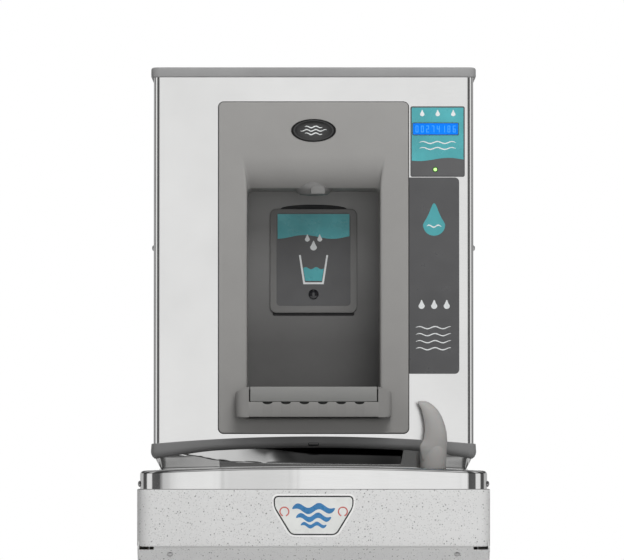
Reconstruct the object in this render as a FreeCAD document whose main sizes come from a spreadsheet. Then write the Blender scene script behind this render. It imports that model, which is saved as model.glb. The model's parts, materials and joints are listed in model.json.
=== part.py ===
"""Wall-hung drinking fountain with a bottle filler, built as separate pieces.

Frame: +X to the user's right, the front faces -Y, +Z up, millimetres. The wall is the plane Y = 0 and the
origin is the centre of the wall hanger's four bolts. Every piece ends as one labelled object whose sizes
come from the sheet "Sizes"; the label names the STEP file in parts/.
"""
import FreeCAD, Part
import math
import os
import re

import Sketcher
from FreeCAD import Placement, Rotation, Vector

SIZES = [
    # Overall
    ("rim_z", 120, "crest of the stainless rim above the hanger bolts"),
    ("cooler_w", 460, "width over the apron"),
    ("cooler_d", 483, "wall to the apron's front"),
    ("cooler_h", 500, "rim crest to the cabinet's underside"),
    ("skin", 1.2, "sheet steel thickness"),
    ("back_gap", 8, "wall to the cabinet's rear frame"),
    # Stainless top
    ("top_inset", 3.5, "apron side to the stainless side"),
    ("top_setback", 2, "apron front to the stainless front"),
    ("crown_r", 5200, "radius of the rim's arch"),
    ("top_drop", 38, "rim crest to the stainless skirt's lower edge"),
    ("top_round", 27, "upright corner radius of the stainless top"),
    ("bowl_x", 196, "half width of the bowl"),
    ("bowl_front", 462, "wall to the bowl's front"),
    ("bowl_back", 236, "wall to the bowl's back"),
    ("bowl_deep", 72, "rim crest to the bowl's floor"),
    ("bowl_corner", 62, "bowl corner radius in plan"),
    ("bowl_floor_r", 20, "bowl wall to floor radius"),
    ("deck_x", 112, "left side of the bubbler's deck"),
    ("deck_y", 345, "wall to the front of the bubbler's deck"),
    ("deck_r", 22, "corner radius of the bubbler's deck"),
    ("drain_x", -30, "drain centre"),
    ("drain_y", 372, "wall to the drain centre"),
    ("drain_r", 19, "drain hole radius"),
    ("waste_z", 206, "rim crest to the waste outlet"),
    ("trap_z", 258, "rim crest to the foot of the waste trap"),
    ("neck_x", 201.8, "half width of the neck at its foot"),
    ("neck_y", 197.5, "wall to the neck's front at its foot"),
    ("neck_flare", 12.1, "how far the neck flares out under the filler"),
    ("neck_shoulder", 11.3, "neck's shoulder above the rim"),
    ("neck_r", 7, "neck corner radius"),
    ("arch_r", 2388, "radius of the filler's lower arch"),
    ("arch_top", 26.2, "crest of the neck above the rim"),
    # Bubbler
    ("bub_x", 160, "bubbler centre"),
    ("bub_y", 290, "wall to the bubbler centre"),
    ("mound_r", 15, "foot radius of the mound under the bubbler"),
    ("mound_top_r", 12.2, "top radius of the mound"),
    ("mound_high", 7, "top of the mound above the rim"),
    ("guard_r", 17, "radius of the guard's sleeve"),
    ("guard_w", 34, "guard width, front to back"),
    ("stem_r", 6.5, "bubbler stem radius"),
    # Apron and cabinet
    ("apron_drop", 28.6, "rim crest to the apron's upper edge"),
    ("apron_h", 74.8, "apron height"),
    ("apron_round", 20, "apron corner radius"),
    ("low_d", 300, "wall to the lower cabinet's front"),
    ("rail_x", 206, "inner edge of the rails that carry the stainless top"),
    ("slope_drop", 270, "rim crest to the foot of the sloped panel"),
    ("panel_lap", 2, "sloped panel's upper edge below the apron"),
    ("panel_tuck", 6, "sloped panel's upper edge behind the apron's face"),
    # Wall hanger
    ("hang_w", 360, "hanger width"),
    ("hang_h", 90, "hanger height"),
    ("hang_pitch_x", 304.8, "hanger bolts, side to side"),
    ("hang_pitch_z", 50.8, "hanger bolts, up and down"),
    ("hang_hole_r", 4.5, "hanger bolt hole radius"),
    ("hang_t", 2.5, "hanger steel thickness"),
    # Filler casing
    ("fill_d", 210, "wall to the filler's front sheet"),
    ("fill_x", 216.5, "half width of the filler's sheet"),
    ("fill_round", 8, "upright corner radius of the filler"),
    ("cap_x", 220, "half width of the cap and the bottom trim"),
    ("cap_over", 3.5, "cap and trim in front of the sheet"),
    ("cap_z", 527.5, "cap's lower edge above the rim"),
    ("cap_h", 13.5, "cap height"),
    ("trim_h", 15, "trim height on the arch"),
    ("trim_t", 3.4, "cap and trim wall"),
    ("trim_z", 11.5, "trim's lowest corner above the rim"),
    ("side_screw_z", 297, "filler's side screws above the rim"),
    # Alcove
    ("flange_x", 128.5, "half width of the alcove flange"),
    ("flange_low", 45.4, "flange's lower edge above the rim"),
    ("flange_high", 493.8, "flange's upper edge above the rim"),
    ("flange_t", 2.5, "flange thickness"),
    ("flange_r", 7, "flange corner radius"),
    ("alcove_x", 90, "half width of the alcove"),
    ("hood_top", 423, "where the hood rolls back from the flange, above the rim"),
    ("hood_r", 58, "radius of the hood's roll"),
    ("alcove_top", 378, "alcove's ceiling above the rim"),
    ("alcove_y", 95, "wall to the alcove's rear face"),
    ("alcove_t", 3, "alcove wall"),
    # Drip tray
    ("tray_x", 105, "half width of the tray's front"),
    ("tray_out", 30, "tray's front beyond the filler's sheet"),
    ("tray_low", 67, "tray's underside above the rim"),
    ("tray_high", 108, "tray's upper face above the rim"),
    ("grate_x", 86, "half width of the grate"),
    ("grate_low", 88, "lower edge of the grate's front lip above the rim"),
    ("grate_gap", 0.4, "play around the grate"),
    ("notch_r", 6, "drain notch radius"),
    ("notch_pitch", 24.8, "drain notch spacing"),
    # Sensor pad, nozzle, badge, display
    ("pad_x", 59.8, "half width of the sensor pad"),
    ("pad_low", 211.4, "pad's lower edge above the rim"),
    ("pad_high", 354.3, "pad's upper edge above the rim"),
    ("pad_t", 3.5, "pad thickness"),
    ("card_x", 50.8, "half width of the pad's label"),
    ("card_low", 221.1, "label's lower edge above the rim"),
    ("card_high", 348.8, "label's upper edge above the rim"),
    ("film", 0.4, "label thickness"),
    ("eye_z", 236.9, "sensor window above the rim"),
    ("eye_r", 6.9, "sensor window radius"),
    ("nozzle_y", 172, "wall to the nozzle"),
    ("nozzle_r", 18, "nozzle boss radius at its mouth"),
    ("nozzle_top_r", 27, "nozzle boss radius at its seat"),
    ("nozzle_z", 369.5, "nozzle boss's mouth above the rim"),
    ("nozzle_seat", 386, "nozzle boss's seat above the rim"),
    ("badge_x", 30.4, "half width of the oval badge"),
    ("badge_z", 455.2, "badge centre above the rim"),
    ("badge_half_h", 15.5, "half height of the badge"),
    ("badge_t", 1.8, "badge dome height"),
    ("disp_x", 131.1, "display panel's left edge"),
    ("disp_w", 73.6, "display panel width"),
    ("disp_low", 392.4, "display panel's lower edge above the rim"),
    ("disp_h", 95.6, "display panel height"),
    ("disp_t", 1.2, "display panel thickness"),
    ("lcd_x", 134.6, "display window's left edge"),
    ("lcd_w", 61, "display window width"),
    ("lcd_low", 449.7, "display window's lower edge above the rim"),
    ("lcd_h", 15.3, "display window height"),
    ("led_x", 164.7, "indicator centre"),
    ("led_z", 402.3, "indicator above the rim"),
    ("led_r", 2.3, "indicator radius"),
    ("strip_x", 129.1, "label strip's left edge"),
    ("strip_w", 68, "label strip width"),
    ("strip_low", 125.8, "label strip's lower edge above the rim"),
    ("strip_h", 265.8, "label strip height"),
    # Refrigeration and water
    ("comp_x", -128, "compressor centre"),
    ("comp_y", 150, "wall to the compressor centre"),
    ("comp_r", 66, "compressor shell radius"),
    ("comp_h", 150, "compressor shell height"),
    ("foot_h", 12, "rubber mount height"),
    ("coil_x", 18, "condenser's left side"),
    ("coil_w", 186, "condenser width"),
    ("coil_t", 38, "condenser thickness"),
    ("fan_r", 74, "fan radius"),
    ("fan_shaft_r", 4, "fan shaft radius"),
    ("tank_x", -128, "chiller tank centre"),
    ("tank_y", 120, "wall to the tank centre"),
    ("tank_r", 52, "tank radius"),
    ("tank_t", 1.5, "tank wall"),
    ("foam_r", 72, "insulation radius"),
    ("cart_x", 166, "filter centre"),
    ("cart_y", 92, "wall to the filter centre"),
    ("cart_r", 31, "filter cartridge radius"),
    ("core_r", 5, "solenoid plunger radius"),
    ("core_fit", 0.05, "plunger play in its tube"),
    ("line_r", 4, "water line radius"),
    ("screw_r", 2.1, "casing screw shank radius"),
]

doc = FreeCAD.newDocument("DrinkingFountain")
sheet = doc.addObject("Spreadsheet::Sheet", "Sizes")
for row, (alias, value, note) in enumerate(SIZES, 1):
    sheet.set(f"A{row}", note)
    sheet.set(f"B{row}", str(value))
    sheet.setAlias(f"B{row}", alias)
doc.recompute()

ALIAS = re.compile(r"\b(" + "|".join(alias for alias, _, _ in SIZES) + r")\b")
TURN = {
    "X": Rotation(Vector(0, 1, 0), 90),
    "Y": Rotation(Vector(1, 0, 0), -90),
    "Z": Rotation(),
}
NODES = {}
TOP_SCREW_Y = ("-130", "-390")
FILLER_SCREW_Y = ("-60",)
SLOPE_SCREW_X = 187


def bound(text):
    """The text of an expression with each size's name led by the sheet's."""
    return ALIAS.sub(r"Sizes.\1", str(text))


def size(text):
    """The number that an expression on the sheet gives."""
    return float(sheet.evalExpression(bound(text)))


def bind(obj, prop, text):
    """Ties a property of an object to an expression on the sheet."""
    obj.setExpression(prop, bound(text))


def place(obj, at, turn=None):
    """Puts an object at a point given as three expressions, turned by a rotation."""
    if turn is not None:
        obj.Placement = Placement(Vector(), turn)
    for axis, text in zip("xyz", at):
        bind(obj, f"Placement.Base.{axis}", text)
    return obj


def above(text):
    """A height given above the rim's crest, in the frame."""
    return f"rim_z + ({text})"


def block(name, x, y, z):
    """A box between three pairs of expressions."""
    obj = doc.addObject("Part::Box", name)
    for prop, (low, high) in zip(("Length", "Width", "Height"), (x, y, z)):
        bind(obj, prop, f"({high}) - ({low})")
    return place(obj, (x[0], y[0], z[0]))


def rod(name, axis, at, radius, length):
    """A cylinder that starts at a point and runs along +axis."""
    obj = doc.addObject("Part::Cylinder", name)
    bind(obj, "Radius", radius)
    bind(obj, "Height", length)
    return place(obj, at, TURN[axis])


def cone(name, axis, at, low_r, high_r, length):
    """A cone frustum that starts at a point and runs along +axis."""
    obj = doc.addObject("Part::Cone", name)
    bind(obj, "Radius1", low_r)
    bind(obj, "Radius2", high_r)
    bind(obj, "Height", length)
    return place(obj, at, TURN[axis])


def fuse(name, *pieces):
    """The union of some solids."""
    obj = doc.addObject("Part::MultiFuse", name)
    obj.Shapes = list(pieces)
    return obj


def cut(name, base, *tools):
    """A solid less some others."""
    obj = doc.addObject("Part::Cut", name)
    obj.Base = base
    obj.Tool = tools[0] if len(tools) == 1 else fuse(name + "_tools", *tools)
    return obj


def common(name, first, second):
    """What two solids share."""
    obj = doc.addObject("Part::MultiCommon", name)
    obj.Shapes = [first, second]
    return obj


def group(name, pieces):
    """Separate identical solids held in one object."""
    obj = doc.addObject("Part::Compound", name)
    obj.Links = list(pieces)
    return obj


def node(label, obj):
    """Registers a finished sub-part under its label."""
    obj.Label = label
    NODES[label] = obj
    return obj


def plane_of(body, role):
    """One of a body's own origin planes."""
    return next(item for item in body.Origin.OriginFeatures if item.Role == role)


def outline_sketch(body, name, role, outline):
    """A closed sketch on a body's plane; each corner is a pair of expressions tied to the origin."""
    sketch = body.newObject("Sketcher::SketchObject", name)
    sketch.AttachmentSupport = [(plane_of(body, role), "")]
    sketch.MapMode = "FlatFace"
    corners = [Vector(size(u), size(v), 0) for u, v in outline]
    count = len(corners)
    for index, corner in enumerate(corners):
        sketch.addGeometry(Part.LineSegment(corner, corners[(index + 1) % count]), False)
    for index in range(count):
        sketch.addConstraint(Sketcher.Constraint("Coincident", index, 2, (index + 1) % count, 1))
    for index, corner in enumerate(outline):
        for kind, text in zip(("DistanceX", "DistanceY"), corner):
            number = sketch.addConstraint(Sketcher.Constraint(kind, -1, 1, index, 1, size(text)))
            bind(sketch, f"Constraints[{number}]", text)
    return sketch


def round_edges(body, feature, radius, keep):
    """Rounds the edges of a feature that a test picks."""
    doc.recompute()
    edges = [f"Edge{i}" for i, edge in enumerate(feature.Shape.Edges, 1) if keep(edge)]
    fillet = body.newObject("PartDesign::Fillet", body.Name + "_round")
    fillet.Base = (feature, edges)
    bind(fillet, "Radius", radius)
    doc.recompute()
    return fillet


def plate(name, role, outline, span, rounds=None, corners=None):
    """A body padded from an outline: XY_Plane along Z, XZ_Plane along Y, YZ_Plane along X.

    span gives the low and high ends along that axis; rounds is a radius for the outline's corners, and
    corners limits it to some of them by number.
    """
    body = doc.addObject("PartDesign::Body", name)
    sketch = outline_sketch(body, name + "_outline", role, outline)
    pad = body.newObject("PartDesign::Pad", name + "_pad")
    pad.Profile = sketch
    low, high = span
    bind(pad, "Length", f"({high}) - ({low})")
    axis = {"XY_Plane": "z", "XZ_Plane": "y", "YZ_Plane": "x"}[role]
    start = high if role == "XZ_Plane" else low
    bind(body, f"Placement.Base.{axis}", start)
    if rounds is not None:
        wanted = range(len(outline)) if corners is None else corners
        points = [(size(outline[i][0]), size(outline[i][1])) for i in wanted]
        pick = {"z": lambda p: (p.x, p.y), "y": lambda p: (p.x, p.z), "x": lambda p: (p.y, p.z)}[axis]

        def at_corner(edge):
            first, last = (pick(vertex.Point) for vertex in (edge.Vertexes[0], edge.Vertexes[-1]))
            if math.dist(first, last) > 1e-6:
                return False
            return any(math.dist(first, point) < 1e-6 for point in points)

        round_edges(body, pad, rounds, at_corner)
    return body


def rectangle(u, v):
    """The four corners of a rectangle between two pairs of expressions."""
    return [(u[0], v[0]), (u[1], v[0]), (u[1], v[1]), (u[0], v[1])]


def turned(name, profile, at, axis="Z"):
    """A body revolved from (radius, height) pairs about an axis through a point."""
    body = doc.addObject("PartDesign::Body", name)
    sketch = outline_sketch(body, name + "_profile", "XZ_Plane", profile)
    revolution = body.newObject("PartDesign::Revolution", name + "_turn")
    revolution.Profile = sketch
    revolution.ReferenceAxis = (sketch, ["V_Axis"])
    revolution.Angle = 360
    return place(body, at, TURN[axis])


def path_wire(points, bend):
    """Straight runs joined by tangent arcs of one radius."""
    spots = [Vector(*(size(text) for text in point)) for point in points]
    edges = []
    start = spots[0]
    for before, corner, after in zip(spots, spots[1:], spots[2:]):
        into = (corner - before).normalize()
        out = (after - corner).normalize()
        turn = into.getAngle(out)
        reach = bend * math.tan(turn / 2)
        first = corner - into * reach
        last = corner + out * reach
        inward = (out - into).normalize()
        middle = corner + inward * (bend / math.cos(turn / 2) - bend)
        edges.append(Part.LineSegment(start, first).toShape())
        edges.append(Part.Arc(first, middle, last).toShape())
        start = last
    edges.append(Part.LineSegment(start, spots[-1]).toShape())
    return Part.Wire(edges)


def swept(points, radius, bend):
    """A round bar along a path."""
    wire = path_wire(points, bend)
    start = wire.Edges[0].Vertexes[0].Point
    ahead = (wire.Edges[0].Vertexes[-1].Point - start).normalize()
    ring = Part.Wire(Part.makeCircle(radius, start, ahead))
    return wire.makePipeShell([ring], True, False)


def tubing(label, runs, radius, bore, bend):
    """Tubes along paths, each a separate solid with its own bore."""
    solids = []
    for points in runs:
        outer = swept(points, size(radius), size(bend))
        inner = swept(points, size(bore), size(bend))
        solids.append(outer.cut(inner))
    obj = doc.addObject("Part::Feature", label)
    obj.Shape = solids[0] if len(solids) == 1 else Part.makeCompound(solids)
    obj.Placement = Placement()
    return node(label, obj)


# ---------------------------------------------------------------- stainless top

def arched_slab(name, half_w, span_y, low, crest, radius, round_r=None):
    """A slab with an arched upper face: an upright prism cut by a big cylinder that lies along Y."""
    front, back = span_y
    plan = rectangle((f"-({half_w})", half_w), (front, back))
    prism = plate(name + "_prism", "XY_Plane", plan, (low, f"({crest}) + 1"), round_r, (0, 1))
    drum = rod(name + "_drum", "Y", ("0", f"({front}) - 1", f"({crest}) - ({radius})"), radius,
               f"({back}) - ({front}) + 2")
    return common(name, prism, drum)


def bowl_block(name, grow, low, high):
    """The bowl as a solid: an L-shaped plan around the bubbler's deck, rounded below."""
    body = doc.addObject("PartDesign::Body", name)
    left, right = f"-(bowl_x + {grow})", f"bowl_x + {grow}"
    front, back = f"-(bowl_front + {grow})", f"-(bowl_back - {grow})"
    deck_x, deck_y = f"deck_x + {grow}", f"-(deck_y - {grow})"
    outline = [(left, front), (right, front), (right, deck_y), (deck_x, deck_y), (deck_x, back),
               (left, back)]
    sketch = outline_sketch(body, name + "_outline", "XY_Plane", outline)
    pad = body.newObject("PartDesign::Pad", name + "_pad")
    pad.Profile = sketch
    bind(pad, "Length", f"({high}) - ({low})")
    bind(body, "Placement.Base.z", low)

    def upright_at(numbers):
        spots = [(size(outline[i][0]), size(outline[i][1])) for i in numbers]

        def test(edge):
            first, last = edge.Vertexes[0].Point, edge.Vertexes[-1].Point
            if math.hypot(first.x - last.x, first.y - last.y) > 1e-6:
                return False
            return any(math.hypot(first.x - x, first.y - y) < 1e-6 for x, y in spots)

        return test

    wide = round_edges(body, pad, f"bowl_corner + {grow}", upright_at((0, 1, 5)))
    narrow = round_edges(body, wide, f"deck_r + {grow}", upright_at((2, 4)))
    inner = round_edges(body, narrow, f"deck_r * 1.6 - {grow}", upright_at((3,)))
    floor = min(vertex.Z for vertex in inner.Shape.Vertexes)
    round_edges(body, inner, f"bowl_floor_r + {grow}",
                lambda edge: all(abs(v.Z - floor) < 1e-6 for v in edge.Vertexes))
    return body


def rounded_wire(half, front, back, level, radius):
    """A rectangle's wire at a level, its two front corners rounded."""
    slant = radius * (1 - math.sqrt(0.5))
    corners = [Vector(-half, back, level), Vector(-half, front + radius, level),
               Vector(-half + radius, front, level),
               Vector(half - radius, front, level), Vector(half, front + radius, level),
               Vector(half, back, level)]
    left = Part.Arc(corners[1], Vector(-half + slant, front + slant, level), corners[2]).toShape()
    right = Part.Arc(corners[3], Vector(half - slant, front + slant, level), corners[4]).toShape()
    sides = [Part.LineSegment(corners[a], corners[b]).toShape() for a,
             b in ((0, 1), (2, 3), (4, 5), (5, 0))]
    return Part.Wire([sides[0], left, sides[1], right, sides[2], sides[3]])


def neck_block(name, inset):
    """The neck under the filler: a flared foot and an upright head whose top follows the filler's arch."""
    ends = []
    for tag, flare, level in (("foot", "0", "-12"), ("shoulder", "neck_flare", f"neck_shoulder - {inset}")):
        section = doc.addObject("Part::Feature", f"{name}_{tag}")
        section.Shape = rounded_wire(size(f"neck_x + {flare} - {inset}"),
                                     -size(f"neck_y + {flare} - {inset}"), -2,
                                     size(above(level)), size(f"neck_r - {inset} / 2"))
        section.Placement = Placement()
        ends.append(section)
    loft = doc.addObject("Part::Loft", name + "_loft")
    loft.Sections = ends
    loft.Solid = True
    loft.Ruled = True
    half = f"fill_x - 0.4 - {inset}"
    head = arched_slab(name + "_head", half, (f"-(fill_d - 0.4 - {inset})", "-2"),
                       above(f"neck_shoulder - 1 - {inset}"),
                       f"{above('arch_top')} - {inset}", "arch_r", "neck_r")
    return fuse(name, loft, head)


def basin_top():
    """One pressed sheet: skirt, arched rim, bowl, bubbler deck and mound, and the neck."""
    half = "cooler_w / 2 - top_inset"
    front = "-(cooler_d - top_setback)"
    outer = arched_slab("top_outer", half, (front, "-back_gap"), above("-top_drop"), "rim_z", "crown_r",
                        "top_round")
    inner = arched_slab("top_inner", f"{half} - skin", (f"{front} + skin", "-back_gap - skin"),
                        above("-top_drop - 1"), "rim_z - skin", "crown_r", "top_round - skin")
    under = arched_slab("top_under", half, (front, "-back_gap"), above("-bowl_deep - 20"), "rim_z",
                        "crown_r",
                        "top_round")
    mound_at = ("bub_x", "-bub_y", above("-20"))
    slope = "(mound_r - mound_top_r) / (mound_high + 5)"
    mound = cone("mound_outer", "Z", mound_at, f"mound_r + 15 * {slope}", "mound_top_r", "mound_high + 20")
    mound_hollow = cone("mound_inner", "Z", ("bub_x", "-bub_y", above("-20 - skin")),
                        f"mound_r + 15 * {slope} - skin", "mound_top_r - skin", "mound_high + 20")
    mound_zone = block("mound_zone", ("bub_x - mound_r - 8", "bub_x + mound_r + 8"),
                       ("-bub_y - mound_r - 8", "-bub_y + mound_r + 8"), (above("-6"), above("mound_high")))
    mound_foot = common("mound_clip", mound, mound_zone)
    shell = cut("top_shell", fuse("top_raised", outer, neck_block("neck_outer", "0"), mound_foot),
                inner, neck_block("neck_inner", "skin"), mound_hollow)
    bowl = common("bowl_outer_clip", bowl_block("bowl_outer", "skin", above("-bowl_deep - skin"),
                                                above("2")), under)
    pressed = fuse("top_pressed", shell, bowl)
    tools = [
        bowl_block("bowl_inner", "0", above("-bowl_deep"), above("4")),
        rod("drain_hole", "Z", ("drain_x", "-drain_y", above("-bowl_deep - 6")), "drain_r", "12"),
        rod("stem_hole", "Z", ("bub_x", "-bub_y", above("mound_high - 8")), "stem_r + 1", "16"),
        rod("supply_hole", "Z", ("-165", "-100", above("0")), "line_r + 3", "40"),
    ]
    for index, y in enumerate(TOP_SCREW_Y):
        tools.append(rod(f"top_screw_hole{index}", "X", ("-cooler_w / 2", y, above("-22")),
                         "screw_r + 0.1", "cooler_w"))
    return node("basin_top", cut("basin", pressed, *tools))


def top_fittings():
    """What is fastened through the stainless top: drain, waste pipe and bubbler."""
    at = ("drain_x", "-drain_y", above("-bowl_deep"))
    flange = turned("strainer_disc", [
        ("0", "0"), ("drain_r - 3", "0"), ("drain_r - 3", "-16"), ("drain_r - 0.4", "-16"),
                                      ("drain_r - 0.4", "0"),
        ("drain_r + 7", "0"), ("drain_r + 6", "1.4"), ("0", "2")], at)
    holes = []
    for ring, count in ((0, 1), (5.6, 6), (11.4, 12)):
        for index in range(count):
            angle = 2 * math.pi * index / count
            spot = (f"drain_x + {ring * math.cos(angle):.4f}", f"-drain_y + {ring * math.sin(angle):.4f}",
                    above("-bowl_deep - 2"))
            holes.append(rod(f"strainer_hole{ring:.0f}_{index}", "Z", spot, "1.9", "6"))
    node("drain_strainer", cut("strainer", flange, *holes))
    under = ("drain_x", "-drain_y", above("-bowl_deep - skin"))
    nut = turned("drain_ring", [("drain_r - 0.2", "-7"), ("drain_r + 11", "-7"), ("drain_r + 11", "-2.5"),
                                ("drain_r + 4", "-0.1"), ("drain_r - 0.2", "-0.1")], under)
    node("drain_nut", nut)
    waste = [("drain_x", "-drain_y", above("-bowl_deep - 4")), ("drain_x", "-drain_y", above("-122")),
             ("drain_x", "-290", above("-122")), ("drain_x", "-290", above("-trap_z")),
             ("drain_x", "-240", above("-trap_z")), ("drain_x", "-240", above("-waste_z")),
             ("drain_x", "-14", above("-waste_z"))]
    tubing("waste_pipe", [waste], "drain_r - 3.2", "drain_r - 4.6", "24")

    low = "-mound_high - 83"
    stem = turned("stem_bar", [("0", low), ("stem_r - 1.5", low), ("stem_r - 1.5", "-35"),
                               ("stem_r", "-35"), ("stem_r", "21"), ("stem_r - 2", "26"), ("0", "26")],
                  ("bub_x", "-bub_y", above("mound_high")))
    jet = rod("stem_jet", "X", ("bub_x - 8", "-bub_y", above("mound_high + 20")), "1.6", "8")
    node("bubbler_stem", cut("stem", stem, jet))
    node("bubbler_nut", turned("stem_nut", [("stem_r + 0.1", "-8"), ("stem_r + 4", "-8"),
                                            ("stem_r + 4", "-skin - 0.1"),
                                            ("stem_r + 0.1", "-skin - 0.1")],
                               ("bub_x", "-bub_y", above("mound_high"))))
    bubbler_guard()


def bubbler_guard():
    """The soft guard: a skirt round the mound and a hood that curls over the stream."""
    hood = [("-12", "18"), ("-17.3", "28"), ("-12.6", "40"), ("-12", "49.4"), ("-13.9", "66.7"),
            ("-16.6", "77.4"), ("-21", "87"), ("-13.8", "88"), ("-4.6", "85.4"), ("4.8", "77.4"),
            ("12.8", "64"), ("17.5", "46.7"), ("18.5", "36"), ("16.5", "18")]
    outline = [(f"bub_x + ({x})", above(z)) for x, z in hood]
    claw = plate("guard_claw", "XZ_Plane", outline, ("-bub_y - guard_w / 2", "-bub_y + guard_w / 2"))
    at = ("bub_x", "-bub_y")
    scoop = rod("guard_scoop", "Z", ("bub_x - guard_r * 0.95", "-bub_y", above("34")), "guard_r * 0.8",
                "50")
    skirt = rod("guard_skirt", "Z", (*at, above("-1.8")), "guard_r", "37.8")
    bore = rod("guard_bore", "Z", (*at, above("mound_high - 1")), "stem_r + 0.1", "27.2")
    seat = cone("guard_seat", "Z", (*at, above("-5")), "mound_r + 0.1", "mound_top_r + 0.1",
                "mound_high + 5.1")
    mouth = block("guard_mouth", ("bub_x - guard_r - 2", "bub_x - 2"), ("-bub_y - 5", "-bub_y + 5"),
                  (above("23"), above("37")))
    node("bubbler_guard", cut("guard", fuse("guard_whole", claw, skirt), scoop, bore, seat, mouth))


# ---------------------------------------------------------------- apron, cabinet and hanger

def louvres(name, axis, at, rows, columns, slot, pitch):
    """Slots in rows, as boxes that run right through a sheet facing X or Y."""
    boxes = []
    wide, high = slot
    for column in range(columns):
        for line in range(rows):
            along = (f"{at[0]} + {column * (wide + pitch):.1f}",
                     f"{at[0]} + {column * (wide + pitch) + wide:.1f}")
            upright = (above(f"{at[1]} + {line * pitch}"), above(f"{at[1]} + {line * pitch + high}"))
            through = (f"{at[2]} - 4", f"{at[2]} + 4")
            x, y = (through, along) if axis == "X" else (along, through)
            boxes.append(block(f"{name}{column}_{line}", x, y, upright))
    return boxes


def apron_parts():
    """The coated apron, its label, the gasket under the rim and the sensor behind."""
    half = "cooler_w / 2"
    low, high = above("-apron_drop - apron_h"), above("-apron_drop")
    outer = plate("apron_outer", "XY_Plane", rectangle((f"-{half}", half), ("-cooler_d", "-back_gap - 2")),
                  (low, high),
                  "apron_round", (0, 1))
    inner = plate("apron_inner", "XY_Plane", rectangle((f"skin - {half}", f"{half} - skin"),
                                                       ("skin - cooler_d", "0")),
                  (f"{low} - 1", f"{high} + 1"), "apron_round - skin", (0, 1))
    eye = rod("apron_eye", "Y", ("0", "-cooler_d - 1", above("-apron_drop - 36")), "6", "4")
    node("apron", cut("apron_sheet", outer, inner, eye))
    corners = [("-54.4", "-38"), ("-54.4", "-56"), ("-31.5", "-91"), ("31.5", "-91"), ("54.4", "-56"),
               ("54.4", "-38"),
               ("51", "-34.9"), ("-51", "-34.9")]
    node("apron_label", plate("apron_film", "XZ_Plane", [(x, above(z)) for x, z in corners],
                              ("-cooler_d - film", "-cooler_d")))
    seal = plate("seal_outer", "XY_Plane", rectangle((f"skin - {half} + 0.1", f"{half} - skin - 0.1"),
                                                     ("skin - cooler_d + 0.1", "-back_gap - 3")),
                 (above("-36"), above("-apron_drop - 2")), "apron_round - skin", (0, 1))
    hollow = plate("seal_inner", "XY_Plane", rectangle((f"top_inset - {half}", f"{half} - top_inset"),
                                                       ("top_setback - cooler_d", "0")),
                   (above("-37"), above("-apron_drop")), "top_round", (0, 1))
    node("rim_gasket", cut("seal", seal, hollow))
    node("proximity_sensor", block("hand_sensor", ("-20", "20"),
                                   ("skin - cooler_d + 0.1", "-bowl_front - 3"),
                                   (above("-80"), above("-50"))))


def cabinet():
    """The casing under the basin: sloped panel, side panels, lower front, base pan and rear frame."""
    half = "cooler_w / 2"
    lip = "-cooler_d + panel_tuck"
    edge = "-apron_drop - apron_h - panel_lap"
    thick = "skin * 1.45"
    slope = [(lip, above(f"{edge} + 9")), (lip, above(edge)), ("-low_d", above("-slope_drop")),
             (f"-low_d + {thick}", above("-slope_drop")), (f"{lip} + {thick}", above(edge)),
             (f"{lip} + {thick}", above(f"{edge} + 9"))]
    sheet_x = f"{half} - 2"
    panel = plate("slope_sheet", "YZ_Plane", slope, (f"-({sheet_x})", sheet_x))
    bites = [block(f"corner_bite{i}", (low, high), (f"{lip} - 1", f"{lip} + 6"),
                   (above(f"{edge} - 2"), above(f"{edge} + 10")))
             for i, (low, high) in enumerate((("-227", "-208"), ("208", "227")))]
    pins = [slope_screw_hole(side) for side in ("left", "right")]
    node("under_panel", cut("slope_panel", panel, *bites, *pins))

    wall = [(f"{lip} + 0.5", above(f"{edge} + 1.8")), (f"{lip} + 0.5", above(edge)),
            ("-low_d", above("-slope_drop + 0.4")),
            ("-low_d", above("-cooler_h")), ("-back_gap - skin - 0.2", above("-cooler_h")),
            ("-back_gap - skin - 0.2", above(f"{edge} + 1.8"))]
    for label, low in (("side_panel_left", f"-{half} + 0.6"), ("side_panel_right", f"{half} - 0.6 - skin")):
        sheet_side = plate(label + "_sheet", "YZ_Plane", wall, (low, f"{low} + skin"))
        slots = louvres(label + "_slot", "X", ("-235", "-470", low), 12, 2, (80, 5), 13)
        node(label, cut(label + "_cut", sheet_side, *slots))
    front = block("front_sheet", (f"-({sheet_x})", sheet_x), ("-low_d", "-low_d + skin"),
                  (above("-cooler_h"), above("-slope_drop - 0.2")))
    slots = louvres("front_slot", "Y", ("-190", "-474", "-low_d"), 13, 4, (80, 5), 13)
    node("lower_front_panel", cut("front_panel", front, *slots))
    pan_x = f"{half} - 2.2"
    pan = block("pan_outer", (f"-({pan_x})", pan_x), ("-low_d + skin + 0.2", "-back_gap - skin - 0.2"),
                (above("-cooler_h"), above("-cooler_h + 14")))
    well = block("pan_inner", (f"-({pan_x}) + 1.5", f"{pan_x} - 1.5"),
                 ("-low_d + skin + 1.7", "-back_gap - skin - 1.7"),
                 (above("-cooler_h + 1.5"), above("-cooler_h + 15")))
    node("base_pan", cut("pan", pan, well))


def slope_direction():
    """The sloped panel's inward normal."""
    run = size("cooler_d - panel_tuck - low_d")
    fall = size("slope_drop - apron_drop - apron_h - panel_lap")
    return Vector(0, fall, run).normalize()


def slope_point(side, out):
    """A screw's place on the sloped panel, as expressions, moved out of the sheet by some millimetres."""
    drop = 8
    fall = "(slope_drop - apron_drop - apron_h - panel_lap)"
    normal = slope_direction()
    x = SLOPE_SCREW_X if side == "right" else -SLOPE_SCREW_X
    y = f"panel_tuck - cooler_d + {drop} * (cooler_d - panel_tuck - low_d) / {fall} - {out * normal.y:.4f}"
    return (str(x), y, above(f"-apron_drop - apron_h - panel_lap - {drop} - {out * normal.z:.4f}"))


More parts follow.
